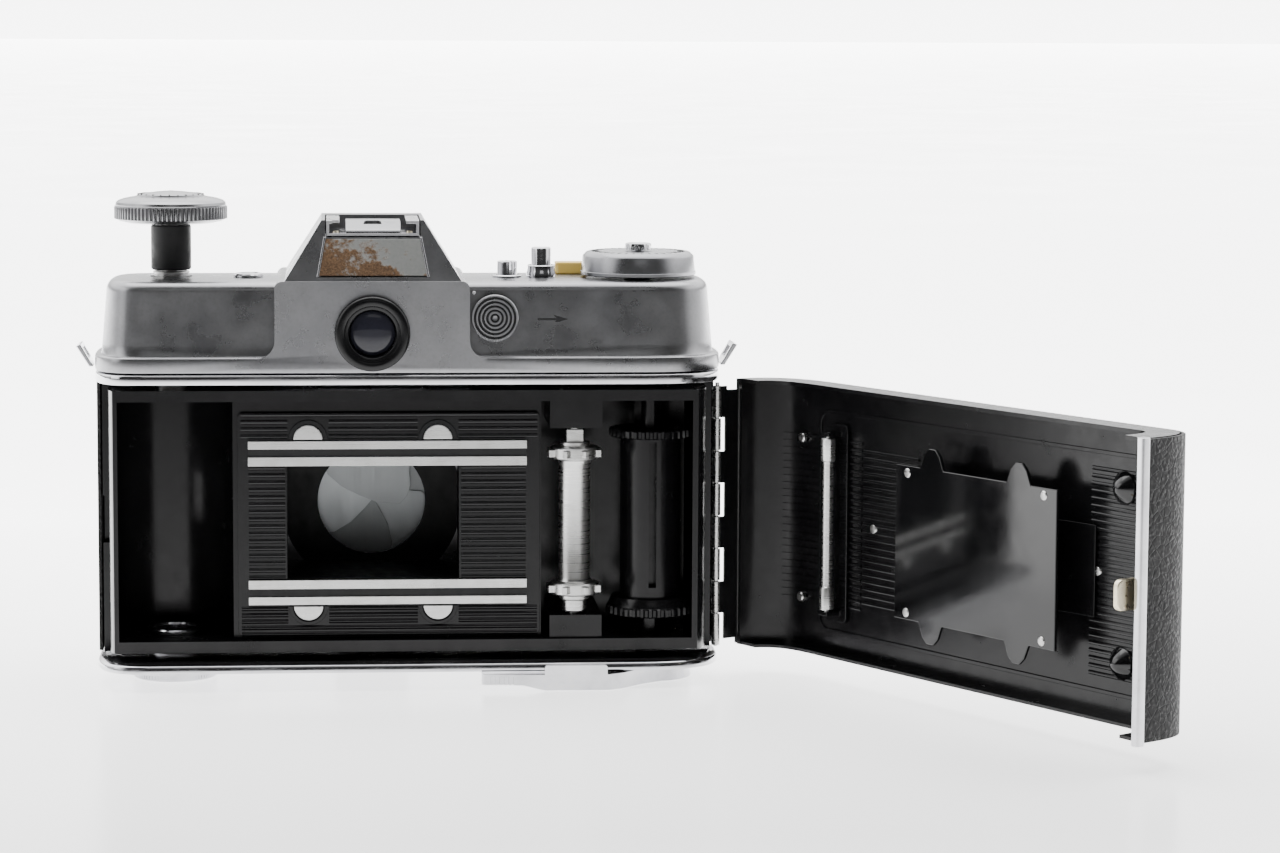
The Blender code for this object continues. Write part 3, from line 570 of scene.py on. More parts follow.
# ---------------------------------------------------------------- body shell
def casting_piece():
    upper = [(x, y) for x, y in outline(1.1) if y > 8.7]
    plan = [(plan_x(1, 8.6, 1.1), 8.6)] + upper + [(plan_x(-1, 8.6, 1.1), 8.6)]
    casting = prism("body_casting_fine", plan, 2.3, 60.1)
    back = side_run(1, 2.6, -2.0, 9.5) + side_run(-1, 2.6, 9.5, -2.0)
    add(casting, prism("tool", back, 3.5, 58.6))
    cassette = [(-29.3, -4.0), (-29.3, CHAMBER[1])] + arc(CHAMBER, 12.4, 0.0, 165.0, 40)[1:]
    cut(casting, prism("tool", cassette + side_run(-1, 3.4, CHAMBER[1], -4.0), 5.9, 56.3))
    take_up = [(35.3, -4.0)] + side_run(1, 3.4, -4.0, 18.0) + arc((50.0, 8.0), 13.2, 60.0, 90.0, 8)
    cut(casting, prism("tool", take_up + [(35.3, 21.2)], 5.9, 56.3))
    cut(casting, block("tool", (-29.6, -4.0, 5.9), (35.6, 1.95, 56.3)))
    cut(casting, block("tool", (-20.8, 2.1, 15.2), (20.8, 27.0, 62.0)))
    cut(casting, block("tool", (-18.4, 0.0, LENS_Z - 12.4), (18.4, 3.0, LENS_Z + 12.4)))
    for low, high in ((5.4, 10.7), (50.4, 56.8)):
        add(casting, block("tool", (37.0, -0.6, low), (48.0, 20.6, high)))
    for radius, low, high, centre in ((1.35, 7.6, 11.2, SPROCKET), (1.35, 50.0, 53.6, SPROCKET),
                                      (3.0, 1.0, 7.0, SPOOL), (2.3, 55.0, 61.0, SPOOL),
                                      (4.3, 55.0, 61.0, REWIND), (6.0, 1.0, 7.0, TRIPOD)):
        cut(casting, rod("tool", radius, low, high, centre, edge=0.01))
    cut(casting, block("tool", (-57.3, 3.0, 25.5), (-53.2, 12.5, 35.5)))
    piece(casting, "black_paint", replaces=["body_casting"], bevel=0.25, segments=2, degrees=50.0)


def gate_pieces():
    gate = prism("film_gate_plate_fine", rounded_rectangle(-28.3, 35.0, 6.4, 53.8, 1.2), 1.0, 1.65, "Y")
    cut(gate, block("tool", (-18.0, 0.0, LENS_Z - 12.0), (18.0, 3.0, LENS_Z + 12.0)))
    piece(gate, "black_paint", replaces=["film_gate_plate"], bevel=0.12, segments=2)

    ribs = []
    panels = [(-26.0, -18.4, -11.6, 11.6), (18.4, 32.0, -11.6, 11.6)]
    panels += [(-27.6, 34.4, 18.2, 22.8), (-27.6, 34.4, -23.6, -18.2)]
    for low_x, high_x, low_z, high_z in panels:
        count = int(round((high_z - low_z) / 1.5))
        for i in range(count + 1):
            z = LENS_Z + low_z + (high_z - low_z) * i / count
            spans = [(low_x, high_x)]
            if abs(low_z) > 15.0 and abs(z - LENS_Z) < 21.4:
                spans = [(low_x, -17.9), (-9.3, 9.3), (17.9, high_x)]
            for start, end in spans:
                profile = [(1.02, z - 0.5), (0.72, z - 0.34), (0.6, z), (0.72, z + 0.34), (1.02, z + 0.5)]
                ribs.append(prism("rib", profile, start, end, "X"))
    piece(joined("film_gate_ribs", ribs), "black_paint", soft=60.0)

    for side, label in ((1, "upper"), (-1, "lower")):
        lands = []
        for low, high in ((12.05, 13.95), (15.6, 17.3)):
            z = sorted((LENS_Z + side * low, LENS_Z + side * high))
            lands.append(block("land", (-26.1, 0.02, z[0]), (32.2, 0.68, z[1])))
        rail = joined("film_rail_%s_lands" % label, lands)
        piece(rail, "machined_metal", replaces=["film_rail_" + label], bevel=0.08, segments=2)
        z = sorted((LENS_Z + side * 13.9, LENS_Z + side * 15.65))
        floor = block("film_rail_%s_groove" % label, (-26.0, 0.45, z[0]), (32.1, 0.9, z[1]))
        piece(floor, "matt_black")
        for x, hand in ((-13.6, "left"), (13.55, "right")):
            centre = (x, LENS_Z + side * 17.6)
            start = 0.0 if side > 0 else 180.0
            stud_plan = arc(centre, 3.05, start, start + 180.0, 32)
            stud = prism("guide_stud_%s_%s" % (label, hand), stud_plan, 0.25, 0.95, "Y")
            piece(stud, "machined_metal", bevel=0.16, segments=3)
            ring = arc(centre, 4.1, start, start + 180.0, 32) + arc(centre, 3.3, start + 180.0, start, 32)
            cup = prism("guide_stud_cup_%s_%s" % (label, hand), ring, 0.5, 1.0, "Y")
            piece(cup, "black_paint", bevel=0.1, segments=2)


def plate_pieces():
    steps = [(0.2, 0.6), (0.3, 0.25), (0.55, 0.02), (1.6, 0.0), (1.85, 0.15), (2.0, 0.4)]
    plate = loft("bottom_plate_fine", [(z, outline(inset)) for z, inset in steps])
    add(plate, prism("tool", rounded_rectangle(-20.0, 20.0, -5.0, 24.0, 2.5), 0.0, 0.6))
    cut(plate, rod("tool", 6.3, -1.0, 3.0, TRIPOD, edge=0.01))
    cut(plate, rod("tool", 3.4, -1.0, 3.0, SPOOL, edge=0.01))
    piece(plate, "bright_chrome", replaces=["bottom_plate"], soft=40.0)
    steps = [(60.4, 0.35), (60.55, 0.1), (60.8, 0.0), (62.2, 0.0), (62.45, 0.1), (62.6, 0.35)]
    belt = loft("top_belt_fine", [(z, outline(inset)) for z, inset in steps])
    cut(belt, prism("tool", outline(6.0), 59.0, 64.0))
    piece(belt, "bright_chrome", replaces=["top_belt"], soft=40.0)

    def knurl(i, height, radius):
        return -0.18 if i % 2 and radius > 8.0 and height < -0.8 and radius < 9.0 else 0.0
    profile = [(0.0, 5.4), (3.2, 5.4), (3.2, -3.3), (3.5, -3.6), (8.4, -3.6), (8.8, -3.3), (8.8, -1.4),
               (13.5, -1.4), (13.8, -1.2), (13.8, -0.3), (5.7, -0.3), (5.7, 6.2), (6.2, 6.25), (6.3, 6.4),
               (6.3, 6.8), (6.1, 7.0), (4.8, 7.0), (4.6, 6.7), (0.0, 6.7)]
    socket = turned("tripod_socket_fine", profile, TRIPOD, "Z", 144, wave=knurl)
    piece(socket, "bright_chrome", replaces=["tripod_socket"])


def front_piece():
    housing = prism("front_housing_fine", rounded_rectangle(-30.0, 30.0, 2.6, 62.2, 6.0, 12), 25.6, 36.5, "Y")
    cut(housing, block("tool", (-20.8, 20.0, 15.2), (20.8, 40.0, 48.6)))
    add(housing, prism("tool", rounded_rectangle(-8.0, 8.0, 28.0, 35.0, 3.0), -3.6, 4.0))
    piece(housing, "satin_chrome", replaces=["front_housing"], bevel=0.8, segments=4, degrees=50.0)
    for side, label, start in ((-1, "left", 8.9), (1, "right", 13.0)):
        plan = front_run(0.0, side, start, side * 30.4) + front_run(0.8, side, start, side * 30.4)[::-1]
        leather = prism("body_leather_%s_fine" % label, plan, 2.4, 60.0)
        piece(leather, "leatherette", replaces=["body_leather_" + label], bevel=0.2, segments=2)


# ---------------------------------------------------------------- top cover
def slope_y(z):
    return -8.4 + 5.2 * (z - SHOULDER_Z) / (ROOF_Z - SHOULDER_Z)


def roof_sections(inset, low, high):
    sections = []
    for z in (low, high):
        share = (z - SHOULDER_Z) / (ROOF_Z - SHOULDER_Z)
        half = 18.4 - 7.8 * share - inset
        front = 32.4 - 9.0 * share - inset
        back = slope_y(z) + inset
        sections.append((z, [(-half, back), (half, back), (half, front), (-half, front)]))
    return sections


def sloped_plate(name, corners, out, depth):
    """A plate that lies on the roof's back slope, from out in front of it to depth below."""
    def build(bm):
        rows = []
        for offset in (-out, depth):
            rows.append([bm.verts.new((x, slope_y(z) + offset, z)) for x, z in corners])
            bm.faces.new(rows[-1])
        for i in range(len(corners)):
            j = (i + 1) % len(corners)
            bm.faces.new((rows[0][i], rows[0][j], rows[1][j], rows[1][i]))
    return raw(name, build)


def cover_piece():
    steps = [(62.9, 0.3), (63.0, 0.08), (63.2, 0.0), (65.6, 0.0), (65.95, 0.1), (66.2, 0.45), (66.25, 1.25),
             (66.5, 1.4)]
    steps += [(66.5 + 13.0 * i / 6.0, 1.4 + 1.1 * i / 6.0) for i in range(1, 7)]
    for a in map(math.radians, range(10, 91, 10)):
        steps.append((SHOULDER_Z - 2.1 + 2.1 * math.sin(a), 2.5 + 2.2 * (1.0 - math.cos(a))))
    cover = loft("top_cover_fine", [(z, outline(inset)) for z, inset in steps])
    fillet, left, right = 3.6, -20.3, 19.9
    plan = [(left - fillet, 64.0), (right + fillet, 64.0)]
    plan += arc((right + fillet, 66.0 + fillet), fillet, 270.0, 180.0, 10)
    plan += arc((right - 1.6, 80.3), 1.6, 0.0, 90.0, 8) + arc((left + 1.6, 80.3), 1.6, 90.0, 180.0, 8)
    plan += arc((left - fillet, 66.0 + fillet), fillet, 0.0, -90.0, 10)
    add(cover, prism("tool", plan, BACK_Y, 33.0, "Y"))
    add(cover, loft("tool", roof_sections(0.0, SHOULDER_Z - 0.5, ROOF_Z)))
    cut(cover, block("tool", (-9.9, -12.0, 90.7), (9.9, 17.5, 97.0)))
    cut(cover, sloped_plate("tool", [(-11.6, 82.6), (11.6, 82.6), (10.1, 90.9), (-10.1, 90.9)], 1.0, 0.8))
    inner = [(61.0, 1.4), (66.0, 1.4), (66.1, 2.8), (79.0, 3.9), (80.2, 5.6)]
    cut(cover, loft("tool", [(z, outline(inset)) for z, inset in inner]))
    cut(cover, block("tool", (-18.9, BACK_Y + 1.3, 60.0), (18.5, 31.7, 80.4)))
    cut(cover, rod("tool", 6.0, BACK_Y - 2.0, BACK_Y + 3.0, EYEPIECE, "Y", edge=0.01))
    for radius, centre in ((4.5, REWIND), (2.5, COUNTER), (2.5, RELEASE), (3.4, DIAL)):
        cut(cover, rod("tool", radius, 78.0, 84.0, centre, edge=0.01))
    cut(cover, block("tool", (24.0, BACK_Y - 2.0, 73.35), (29.95, -3.0, 75.15)))
    piece(cover, "satin_chrome", replaces=["top_cover"], bevel=0.42, segments=3, degrees=38.0, soft=30.0)


def cover_trim():
    plate = sloped_plate("prism_rear_plate_fine", [(-11.1, 83.0), (11.1, 83.0), (9.7, 90.4), (-9.7, 90.4)],
                         -0.1, 0.45)
    piece(plate, "corroded_plate", replaces=["prism_rear_plate"], bevel=0.06, segments=2)
    for side in (-1, 1):
        corners = [(side * 11.15, 82.75), (side * 11.6, 82.75), (side * 10.15, 90.8), (side * 9.75, 90.8)]
        edge = sloped_plate("plate_edge_%s" % ("left" if side < 0 else "right"), corners, 0.05, 0.5)
        piece(edge, "bright_chrome", bevel=0.08, segments=2)
    plan = [(-9.6, 91.0), (9.6, 91.0), (9.6, 94.1), (6.9, 94.1), (6.9, 93.5), (9.0, 93.5), (9.0, 91.55),
            (-9.0, 91.55), (-9.0, 93.5), (-6.9, 93.5), (-6.9, 94.1), (-9.6, 94.1)]
    shoe = prism("accessory_shoe_fine", plan, -3.6, 17.0, "Y")
    cut(shoe, block("tool", (-7.0, -6.0, 93.0), (-8.4, -0.8, 95.0)))
    piece(shoe, "bright_chrome", replaces=["accessory_shoe"], bevel=0.16, segments=3)
    side = [(-3.5, 91.75), (15.5, 91.75), (15.5, 92.1), (10.0, 93.75), (2.0, 93.75), (-1.5, 92.4),
            (-3.5, 92.1)]
    spring = prism("shoe_spring_fine", side, -5.6, 5.8, "X")
    window = [(-1.9, 0.6), (1.9, 0.6), (1.3, 4.6), (-1.3, 4.6)]
    cut(spring, prism("tool", window, 91.0, 95.0))
    piece(spring, "satin_chrome", replaces=["shoe_spring"], bevel=0.14, segments=3)
    for x in (-7.6, 7.6):
        rivet = turned("shoe_rivet_%s" % ("left" if x < 0 else "right"),
                       [(0.0, 91.5), (0.7, 91.5), (0.6, 91.85), (0.0, 91.95)], (x, -1.6), "Z", 24)
        piece(rivet, "brass_lug")

    shaft = [(34.0, 73.7), (37.9, 73.7), (37.3, 73.0), (40.3, 73.9), (37.3, 74.8), (37.9, 74.1), (34.0, 74.1)]
    inset = 1.4 + 1.1 * (73.9 - 66.5) / 13.0
    arrow = prism("slide_arrow", shaft, BACK_Y + inset - 0.05, BACK_Y + inset + 0.3, "Y")
    piece(arrow, "matt_black")
    dot = rod("slide_index_dot", 0.35, BACK_Y + 1.9, BACK_Y + 3.0, (19.9 + 0.9, 79.4), "Y", 16, 0.05)
    piece(dot, "bright_chrome")
    for side, label, x in ((-1, "left", -58.1), (1, "right", 73.3)):
        plan = [(x, 63.2), (x + side * 2.7, 67.9), (x + side * 3.6, 67.5), (x + side * 0.9, 63.2)]
        lug = prism("strap_lug_%s_fine" % label, plan, 4.0, 12.0, "Y")
        low_x, high_x = sorted((x, x + side * 6.0))
        cut(lug, block("tool", (low_x, 5.6, 65.0), (high_x, 10.4, 67.0)))
        piece(lug, "bright_chrome", replaces=["strap_lug_" + label], bevel=0.2, segments=3)
    window = prism("meter_window_fine", rounded_rectangle(38.9, 45.8, 15.6, 19.8, 0.8), 81.6, 84.2)
    piece(window, "amber_plastic", replaces=["meter_window"], bevel=0.4, segments=4)


def eyepiece_pieces():
    ring = [(5.0, -10.9), (5.15, -11.0), (5.6, -11.05), (5.75, -11.3)]
    ring += [(6.6 + 1.15 * math.cos(math.radians(a)), -10.75 - 0.72 * math.sin(math.radians(a)))
             for a in range(150, -1, -15)]
    ring += [(7.8, -10.2), (7.8, -9.3), (5.6, -9.3), (5.6, -5.5), (4.9, -5.5), (4.9, -8.4), (4.75, -9.0),
             (4.9, -10.4)]
    piece(turned("eyepiece_ring_fine", ring, EYEPIECE, "Y", ring=True), "black_paint",
          replaces=["eyepiece_ring"], soft=50.0)
    bow = [(0.0, -9.95)] + [(4.7 * math.sin(math.radians(a)), -8.95 - math.cos(math.radians(a)))
                            for a in range(10, 91, 10)] + [(4.7, -8.4), (0.0, -8.4)]
    piece(turned("eyepiece_glass_fine", bow, EYEPIECE, "Y"), "optical_glass", replaces=["eyepiece_glass"])


# ---------------------------------------------------------------- controls
def knob_wave(count_step, depth, low, high, least):
    """Grooves between the heights low and high, outside the radius least."""
    def wave(i, height, radius):
        grooved = low - 0.01 <= height <= high + 0.01 and radius >= least
        return -depth if grooved and i % count_step < count_step // 2 else 0.0
    return wave


def about(centre, angle):
    """A turn about the vertical line through centre, for a shape built at the origin."""
    return Matrix.Translation((centre[0] * MM, centre[1] * MM, 0.0)) @ Matrix.Rotation(angle, 4, "Z")


def rewind_pieces():
    profile = [(0.0, 92.9), (9.0, 92.9), (9.4, 93.0), (10.6, 93.25), (11.3, 93.6), (11.75, 93.75),
               (11.8, 93.85), (11.8, 96.2), (11.75, 96.35), (11.5, 96.45), (11.55, 96.7), (11.4, 97.2),
               (10.9, 97.6), (9.9, 97.95), (8.7, 98.2), (7.5, 98.4), (7.1, 98.5), (6.95, 98.8),
               (6.6, 99.0), (6.3, 98.75), (6.0, 98.7), (5.7, 98.95), (3.2, 99.35), (0.0, 99.6)]
    knob = turned("rewind_knob_fine", profile, REWIND, "Z", 320, wave=knob_wave(4, 0.42, 93.8, 96.25, 11.7))
    piece(knob, "satin_chrome", "rewind_spindle", ["rewind_knob"], soft=28.0)
    radial = []
    for i in range(24):
        mark = block("mark", (6.15, -0.12, 98.72), (6.95, 0.12, 98.95) if i % 2 else (6.95, 0.12, 99.0))
        mark.data.transform(about(REWIND, math.radians(15.0 * i)))
        radial.append(mark)
    piece(joined("rewind_knob_marks", radial), "matt_black", "rewind_spindle")
    sleeve = [(2.3, 83.0), (3.9, 83.0), (4.2, 83.3), (4.2, 92.1), (4.0, 92.4), (2.3, 92.4)]
    piece(turned("rewind_sleeve_fine", sleeve, REWIND, ring=True), "matt_black", "rewind_lift",
          ["rewind_sleeve"])
    shaft = turned("rewind_shaft_fine", [(0.0, 57.3), (3.5, 57.3), (3.85, 57.7), (3.85, 80.6), (3.7, 80.75),
                                         (3.7, 81.0), (3.85, 81.15), (3.85, 82.5), (3.7, 82.7), (2.0, 82.7),
                                         (2.0, 92.6), (0.0, 92.6)], REWIND, "Z", 64)
    x, y = REWIND
    cut(shaft, block("tool", (x - 5.0, y - 1.1, 56.0), (x + 5.0, y + 1.1, 62.0)))
    piece(shaft, "machined_metal", "rewind_spindle", ["rewind_shaft"])


def button_pieces():
    head = [(0.0, 81.7), (3.1, 81.7), (3.1, 82.1), (2.9, 82.4), (2.5, 82.55), (2.3, 82.3), (1.9, 82.25),
            (1.7, 82.55), (0.0, 82.6)]
    screw = turned("cover_screw_fine", head, COVER_SCREW, "Z", 64)
    cut(screw, block("tool", (COVER_SCREW[0] - 1.9, 7.7, 82.3), (COVER_SCREW[0] + 1.9, 8.3, 83.0)))
    piece(screw, "bright_chrome", replaces=["cover_screw"])
    button = turned("counter_button_fine", [(0.0, 74.0), (2.1, 74.0), (2.1, 84.7), (2.0, 84.9), (1.8, 85.0),
                                            (0.0, 85.0)], COUNTER, "Z", 64)
    slit = block("tool", (-0.35, -4.0, 82.9), (0.35, 4.0, 86.0))
    slit.data.transform(about(COUNTER, 0.35))
    cut(button, slit)
    piece(button, "bright_chrome", "counter", ["counter_button"])
    washer = [(2.35, 81.6), (3.1, 81.6), (3.1, 81.95), (2.9, 82.1), (2.35, 82.1)]
    piece(turned("counter_button_washer", washer, COUNTER, "Z", 64, ring=True), "bright_chrome")
    release = [(0.0, 72.0), (2.1, 72.0), (2.1, 87.5), (2.0, 87.75), (1.75, 87.9), (1.1, 87.9), (0.8, 87.6),
               (0.8, 85.4), (0.0, 85.4)]
    piece(turned("shutter_release_fine", release, RELEASE, "Z", 64), "bright_chrome", "release",
          ["shutter_release"])
    collar = [(2.4, 81.4), (3.1, 81.4), (3.1, 82.6), (2.95, 82.9), (2.9, 84.0), (2.75, 84.2), (2.4, 84.2)]
    piece(turned("release_collar_fine", collar, RELEASE, "Z", 64, ring=True), "bright_chrome",
          replaces=["release_collar"])
    rings = [(0.0, -8.45)]
    for radius in SLIDE_GROOVES:
        rings += [(radius - 0.27, -8.5), (radius - 0.12, -8.05),
                  (radius + 0.12, -8.05), (radius + 0.27, -8.5)]
    rings += [(4.7, -8.5), (4.87, -8.35), (4.87, -7.75), (0.75, -7.75), (0.75, -3.0), (0.0, -3.0)]
    disc = turned("counter_slide_fine", rings, SLIDE_DISC, "Y")
    piece(disc, "satin_chrome", "slide", ["counter_slide"], soft=20.0)
    # painted shade: matt black rings sunk in the disc's grooves, drawn dark where shade falls in them
    lines = []
    for radius in SLIDE_GROOVES:
        profile = [(radius - 0.15, -8.2), (radius + 0.15, -8.2),
                   (radius + 0.15, -7.95), (radius - 0.15, -7.95)]
        lines.append(turned("line", profile, SLIDE_DISC, "Y", 64, ring=True))
    piece(joined("counter_slide_groove_shade", lines), "matt_black", "slide")


def meter_pieces():
    dial = [(1.6, 76.0), (3.0, 76.0), (3.0, 82.1), (11.9, 82.1), (12.2, 82.3), (12.2, 82.9), (12.05, 83.0),
            (11.75, 86.0), (11.6, 86.3), (10.9, 86.95), (10.6, 87.05), (8.1, 87.1), (7.9, 86.95),
            (7.7, 86.95), (7.5, 87.1), (1.6, 87.1)]
    piece(turned("meter_dial_fine", dial, DIAL, ring=True, segments=128), "satin_chrome", "dial",
          ["meter_dial"])
    ticks = []
    for i in range(36):
        tick = block("tick", (8.5 if i % 3 else 8.2, -0.1, 87.0), (9.9, 0.1, 87.14))
        tick.data.transform(about(DIAL, math.radians(10.0 * i)))
        ticks.append(tick)
    piece(joined("meter_dial_ticks", ticks), "matt_black", "dial")
    knob = [(0.0, 76.0), (1.3, 76.0), (1.3, 87.4), (2.7, 87.4), (2.8, 87.5), (2.8, 88.45), (2.65, 88.7),
            (2.3, 88.8), (1.0, 88.8), (0.8, 88.6), (0.0, 88.6)]
    piece(turned("meter_knob_fine", knob, DIAL, "Z", 72, wave=knob_wave(6, 0.12, 87.45, 88.5, 2.7)),
          "bright_chrome", "dial_knob", ["meter_knob"])


def lever_piece():
    arm = arc(SPOOL, 8.8, -80.0, 165.0, 40)
    arm += [(48.6, 4.0), (46.6, 0.6), (43.0, -2.4), (37.0, -4.0), (29.5, -4.6), (22.9, -5.0), (22.4, -5.6),
            (22.4, -8.8), (23.0, -9.5), (30.0, -10.2), (36.0, -10.4), (49.0, -10.4), (52.0, -8.6),
            (56.0, -4.2)]
    lever = prism("wind_lever_fine", arm, -3.6, -0.3)
    cut(lever, prism("tool", [(20.0, -3.7), (20.0, -2.5), (31.0, -2.5), (36.0, -3.7)], -12.0, -4.0, "Y"))
    add(lever, prism("tool", rounded_rectangle(35.5, 48.6, -1.0, 1.65, 0.5), -10.4, -9.35, "Y"))
    add(lever, rod("tool", 3.0, -1.5, 2.1, SPOOL, edge=0.05))
    for i in range(7):
        x = 22.8 + 0.95 * i
        cut(lever, block("tool", (x, -11.0, -3.0), (x + 0.45, -9.0, -0.75)))
    piece(lever, "bright_chrome", "lever", ["wind_lever"], bevel=0.18, segments=3)
    boss = turned("wind_lever_screw", [(0.0, -3.6), (3.3, -3.6), (3.5, -3.5), (3.5, -3.2), (0.0, -3.2)],
                  SPOOL, "Z", 48)
    piece(boss, "machined_metal", "lever")


# ---------------------------------------------------------------- film transport and inside
def transport_pieces():
    body = [(0.0, 8.0), (1.2, 8.0), (1.2, 11.0), (2.4, 11.1), (2.6, 11.4), (2.6, 13.6), (3.2, 13.8),
            (3.2, 14.6), (4.9, 14.8), (5.1, 15.1), (5.1, 17.1), (4.9, 17.4), (3.6, 17.6), (3.3, 18.6),
            (3.3, 42.4), (3.6, 43.4), (4.9, 43.6), (5.1, 43.9), (5.1, 45.9), (4.9, 46.2), (3.2, 46.4),
            (3.2, 47.2), (1.4, 47.4), (1.2, 47.5), (1.2, 53.0), (0.0, 53.0)]
    parts = [turned("tool", body, SPROCKET, "Z", 96)]
    x, y = SPROCKET
    parts.append(block("square", (x - 1.75, y - 1.75, 47.2), (x + 1.75, y + 1.75, 49.9)))
    for middle in (LENS_Z - 14.4, LENS_Z + 14.4):
        for i in range(8):
            tooth = prism("tooth", [(4.8, -0.95), (6.1, -0.42), (6.1, 0.42), (4.8, 0.95)],
                          middle - 0.75, middle + 0.75)
            tooth.data.transform(about(SPROCKET, math.radians(45.0 * i + 22.5)))
            parts.append(tooth)
    piece(joined("sprocket_fine", parts), "machined_metal", "sprocket_wheel", ["sprocket"], bevel=0.1,
          segments=2, degrees=40.0)

    drum = [(0.0, 3.5), (2.6, 3.5), (2.6, 9.8), (8.9, 9.8), (9.3, 10.1), (9.3, 11.5), (9.0, 11.8),
            (9.0, 11.9), (8.2, 13.6), (6.4, 13.6), (6.4, 47.6), (8.6, 47.8), (8.8, 48.0), (8.8, 49.3),
            (8.6, 49.5), (2.0, 49.5), (2.0, 58.2), (0.0, 58.2)]

    def teeth(i, height, radius):
        return -0.5 if i % 6 < 3 and radius > 8.75 and (height < 11.7 or height > 47.9) else 0.0
    spool = turned("take_up_spool_fine", drum, SPOOL, "Z", 192, wave=teeth)
    x, y = SPOOL
    cut(spool, block("tool", (x - 0.8, y - 8.0, 16.0), (x + 0.8, y - 3.0, 47.0)))
    piece(spool, "black_paint", "spool", ["take_up_spool"])


def blade_outline(angle):
    """Curved leaf with a swept inner edge; local X runs from the lens axis to the pivot."""
    leaf = arc((17.0, 0.0), 1.9, 90.0, -90.0, 8)
    leaf += [(14.8, -3.0), (12.4, -6.4), (9.6, -8.6)]
    leaf += [(3.6 + 6.0 * math.cos(math.radians(a)), -3.0 + 6.0 * math.sin(math.radians(a)) * 0.95)
             for a in (-70.0, -95.0, -120.0, -145.0)]
    leaf += [(-0.9, -1.2), (0.6, 2.4), (2.6, 6.4), (5.4, 9.6), (7.6, 10.4), (11.2, 8.4), (14.2, 4.6)]
    turn = math.radians(angle)
    return [(x * math.cos(turn) - z * math.sin(turn), LENS_Z + x * math.sin(turn) + z * math.cos(turn))
            for x, z in leaf]


def inside_pieces():
    for i in range(5):
        low = 39.4 + 0.65 * i
        name = "shutter_blade_%d" % (i + 1)
        blade = prism(name + "_fine", blade_outline(90.0 + 72.0 * i), low, low + 0.3, "Y")
        piece(blade, "blade_steel", "blade_%d" % (i + 1), [name], bevel=0.05, segments=2)
        # painted light and shade: this blade's steel made lighter or darker by its factor
        blade.data.materials[0] = blade_steel(BLADE_LIGHT_AND_SHADE[i])
    profile = [(12.3, 36.8), (27.0, 36.8), (27.0, 46.7), (26.7, 47.0), (12.5, 47.0), (12.5, 43.4),
               (24.0, 43.4), (24.0, 39.0), (12.1, 39.0), (11.8, 38.4), (11.8, 37.4)]
    piece(turned("shutter_housing_fine", profile, LENS, "Y", ring=True), "satin_chrome",
          replaces=["shutter_housing"])
    shade = [(11.75, 36.5), (19.8, 36.5), (19.8, 36.75), (11.75, 36.75)]
    piece(turned("shutter_back_shade", shade, LENS, "Y", ring=True), "matt_black")


def lens_pieces():
    barrel = [(13.4, 47.3), (21.8, 47.3), (21.8, 62.6), (24.3, 62.6), (24.6, 62.9), (24.6, 65.6),
              (24.2, 66.0), (22.6, 66.0), (22.2, 65.4), (16.4, 62.6), (15.6, 62.4), (15.0, 61.6),
              (15.0, 56.5), (13.4, 56.5)]
    piece(turned("lens_barrel_fine", barrel, LENS, "Y", 160, ring=True), "black_paint",
          replaces=["lens_barrel"])
    aperture = [(22.2, 47.4), (26.9, 47.4), (27.2, 47.7), (27.2, 50.2), (26.7, 50.5), (26.7, 53.1),
                (26.4, 53.4), (22.2, 53.4)]
    piece(turned("aperture_ring_fine", aperture, LENS, "Y", 240, ring=True,
                 wave=knob_wave(4, 0.35, 47.6, 50.3, 27.1)), "satin_chrome", "aperture", ["aperture_ring"])
    focus = [(22.2, 53.8), (26.0, 53.8), (26.4, 54.2), (26.4, 55.4), (26.0, 55.6), (26.0, 55.9), (26.4, 56.1),
             (26.4, 61.0), (26.1, 61.3), (25.2, 62.2), (22.2, 62.2)]
    piece(turned("focus_ring_fine", focus, LENS, "Y", 240, ring=True,
                 wave=knob_wave(8, 0.45, 56.0, 61.1, 26.3)), "black_paint", "focus", ["focus_ring"])
    dome = [(14.7 * math.sin(a), 60.6 + 3.0 * math.cos(a))
            for a in map(math.radians, range(10, 91, 10))]
    piece(turned("lens_front_glass_fine", [(0.0, 63.6)] + dome + [(14.7, 58.5), (0.0, 58.0)], LENS, "Y"),
          "optical_glass", replaces=["lens_front_glass"])
    cell = prism("meter_cell_window_fine", rounded_rectangle(-15.0, 15.0, 66.0, 78.5, 1.5), 33.3, 34.4, "Y")
    piece(cell, "optical_glass", replaces=["meter_cell_window"], bevel=0.2, segments=2)
    bars = []
    for i in range(15):
        for j in range(6):
            bars.append(rod("bead", 0.82, 34.2, 34.8, (-13.4 + 1.92 * i, 67.45 + 1.92 * j), "Y", 12, 0.3))
    piece(joined("meter_cell_lenslets", bars), "optical_glass", soft=60.0)


# ---------------------------------------------------------------- back door
def door_band(name, outer, inner, low, high, right_y, left_y):
    return prism(name, back_run(outer, right_y, left_y) + back_run(inner, right_y, left_y)[::-1], low, high)


def rib_heights(low_z, high_z):
    """Heights of evenly spaced ribs, about RIB_PITCH apart."""
    count = int(round((high_z - low_z) / RIB_PITCH))
    return [low_z + (high_z - low_z) * i / count for i in range(count + 1)]


def curved_ribs(name, far_angle, low_z, high_z):
    """Horizontal ribs on the inner face of the door's rounded hinge end."""
    ribs = []
    angles = [-90.0 + (90.0 + far_angle) * i / 16.0 for i in range(17)]
    for z in rib_heights(low_z, high_z):
        plan = [plan_point(a, 1.68) for a in angles] + [plan_point(a, 2.05) for a in reversed(angles)]
        ribs.append(prism("rib", plan, z - 0.32, z + 0.32))
    return joined(name, ribs)


def flat_ribs(name, low_x, high_x, low_z, high_z):
    ribs = []
    y = PANEL_Y
    for z in rib_heights(low_z, high_z):
        profile = [(y - 0.02, z - 0.45), (y + 0.26, z - 0.3), (y + 0.34, z), (y + 0.26, z + 0.3),
                   (y - 0.02, z + 0.45)]
        ribs.append(prism("rib", profile, low_x, high_x, "X"))
    return joined(name, ribs)


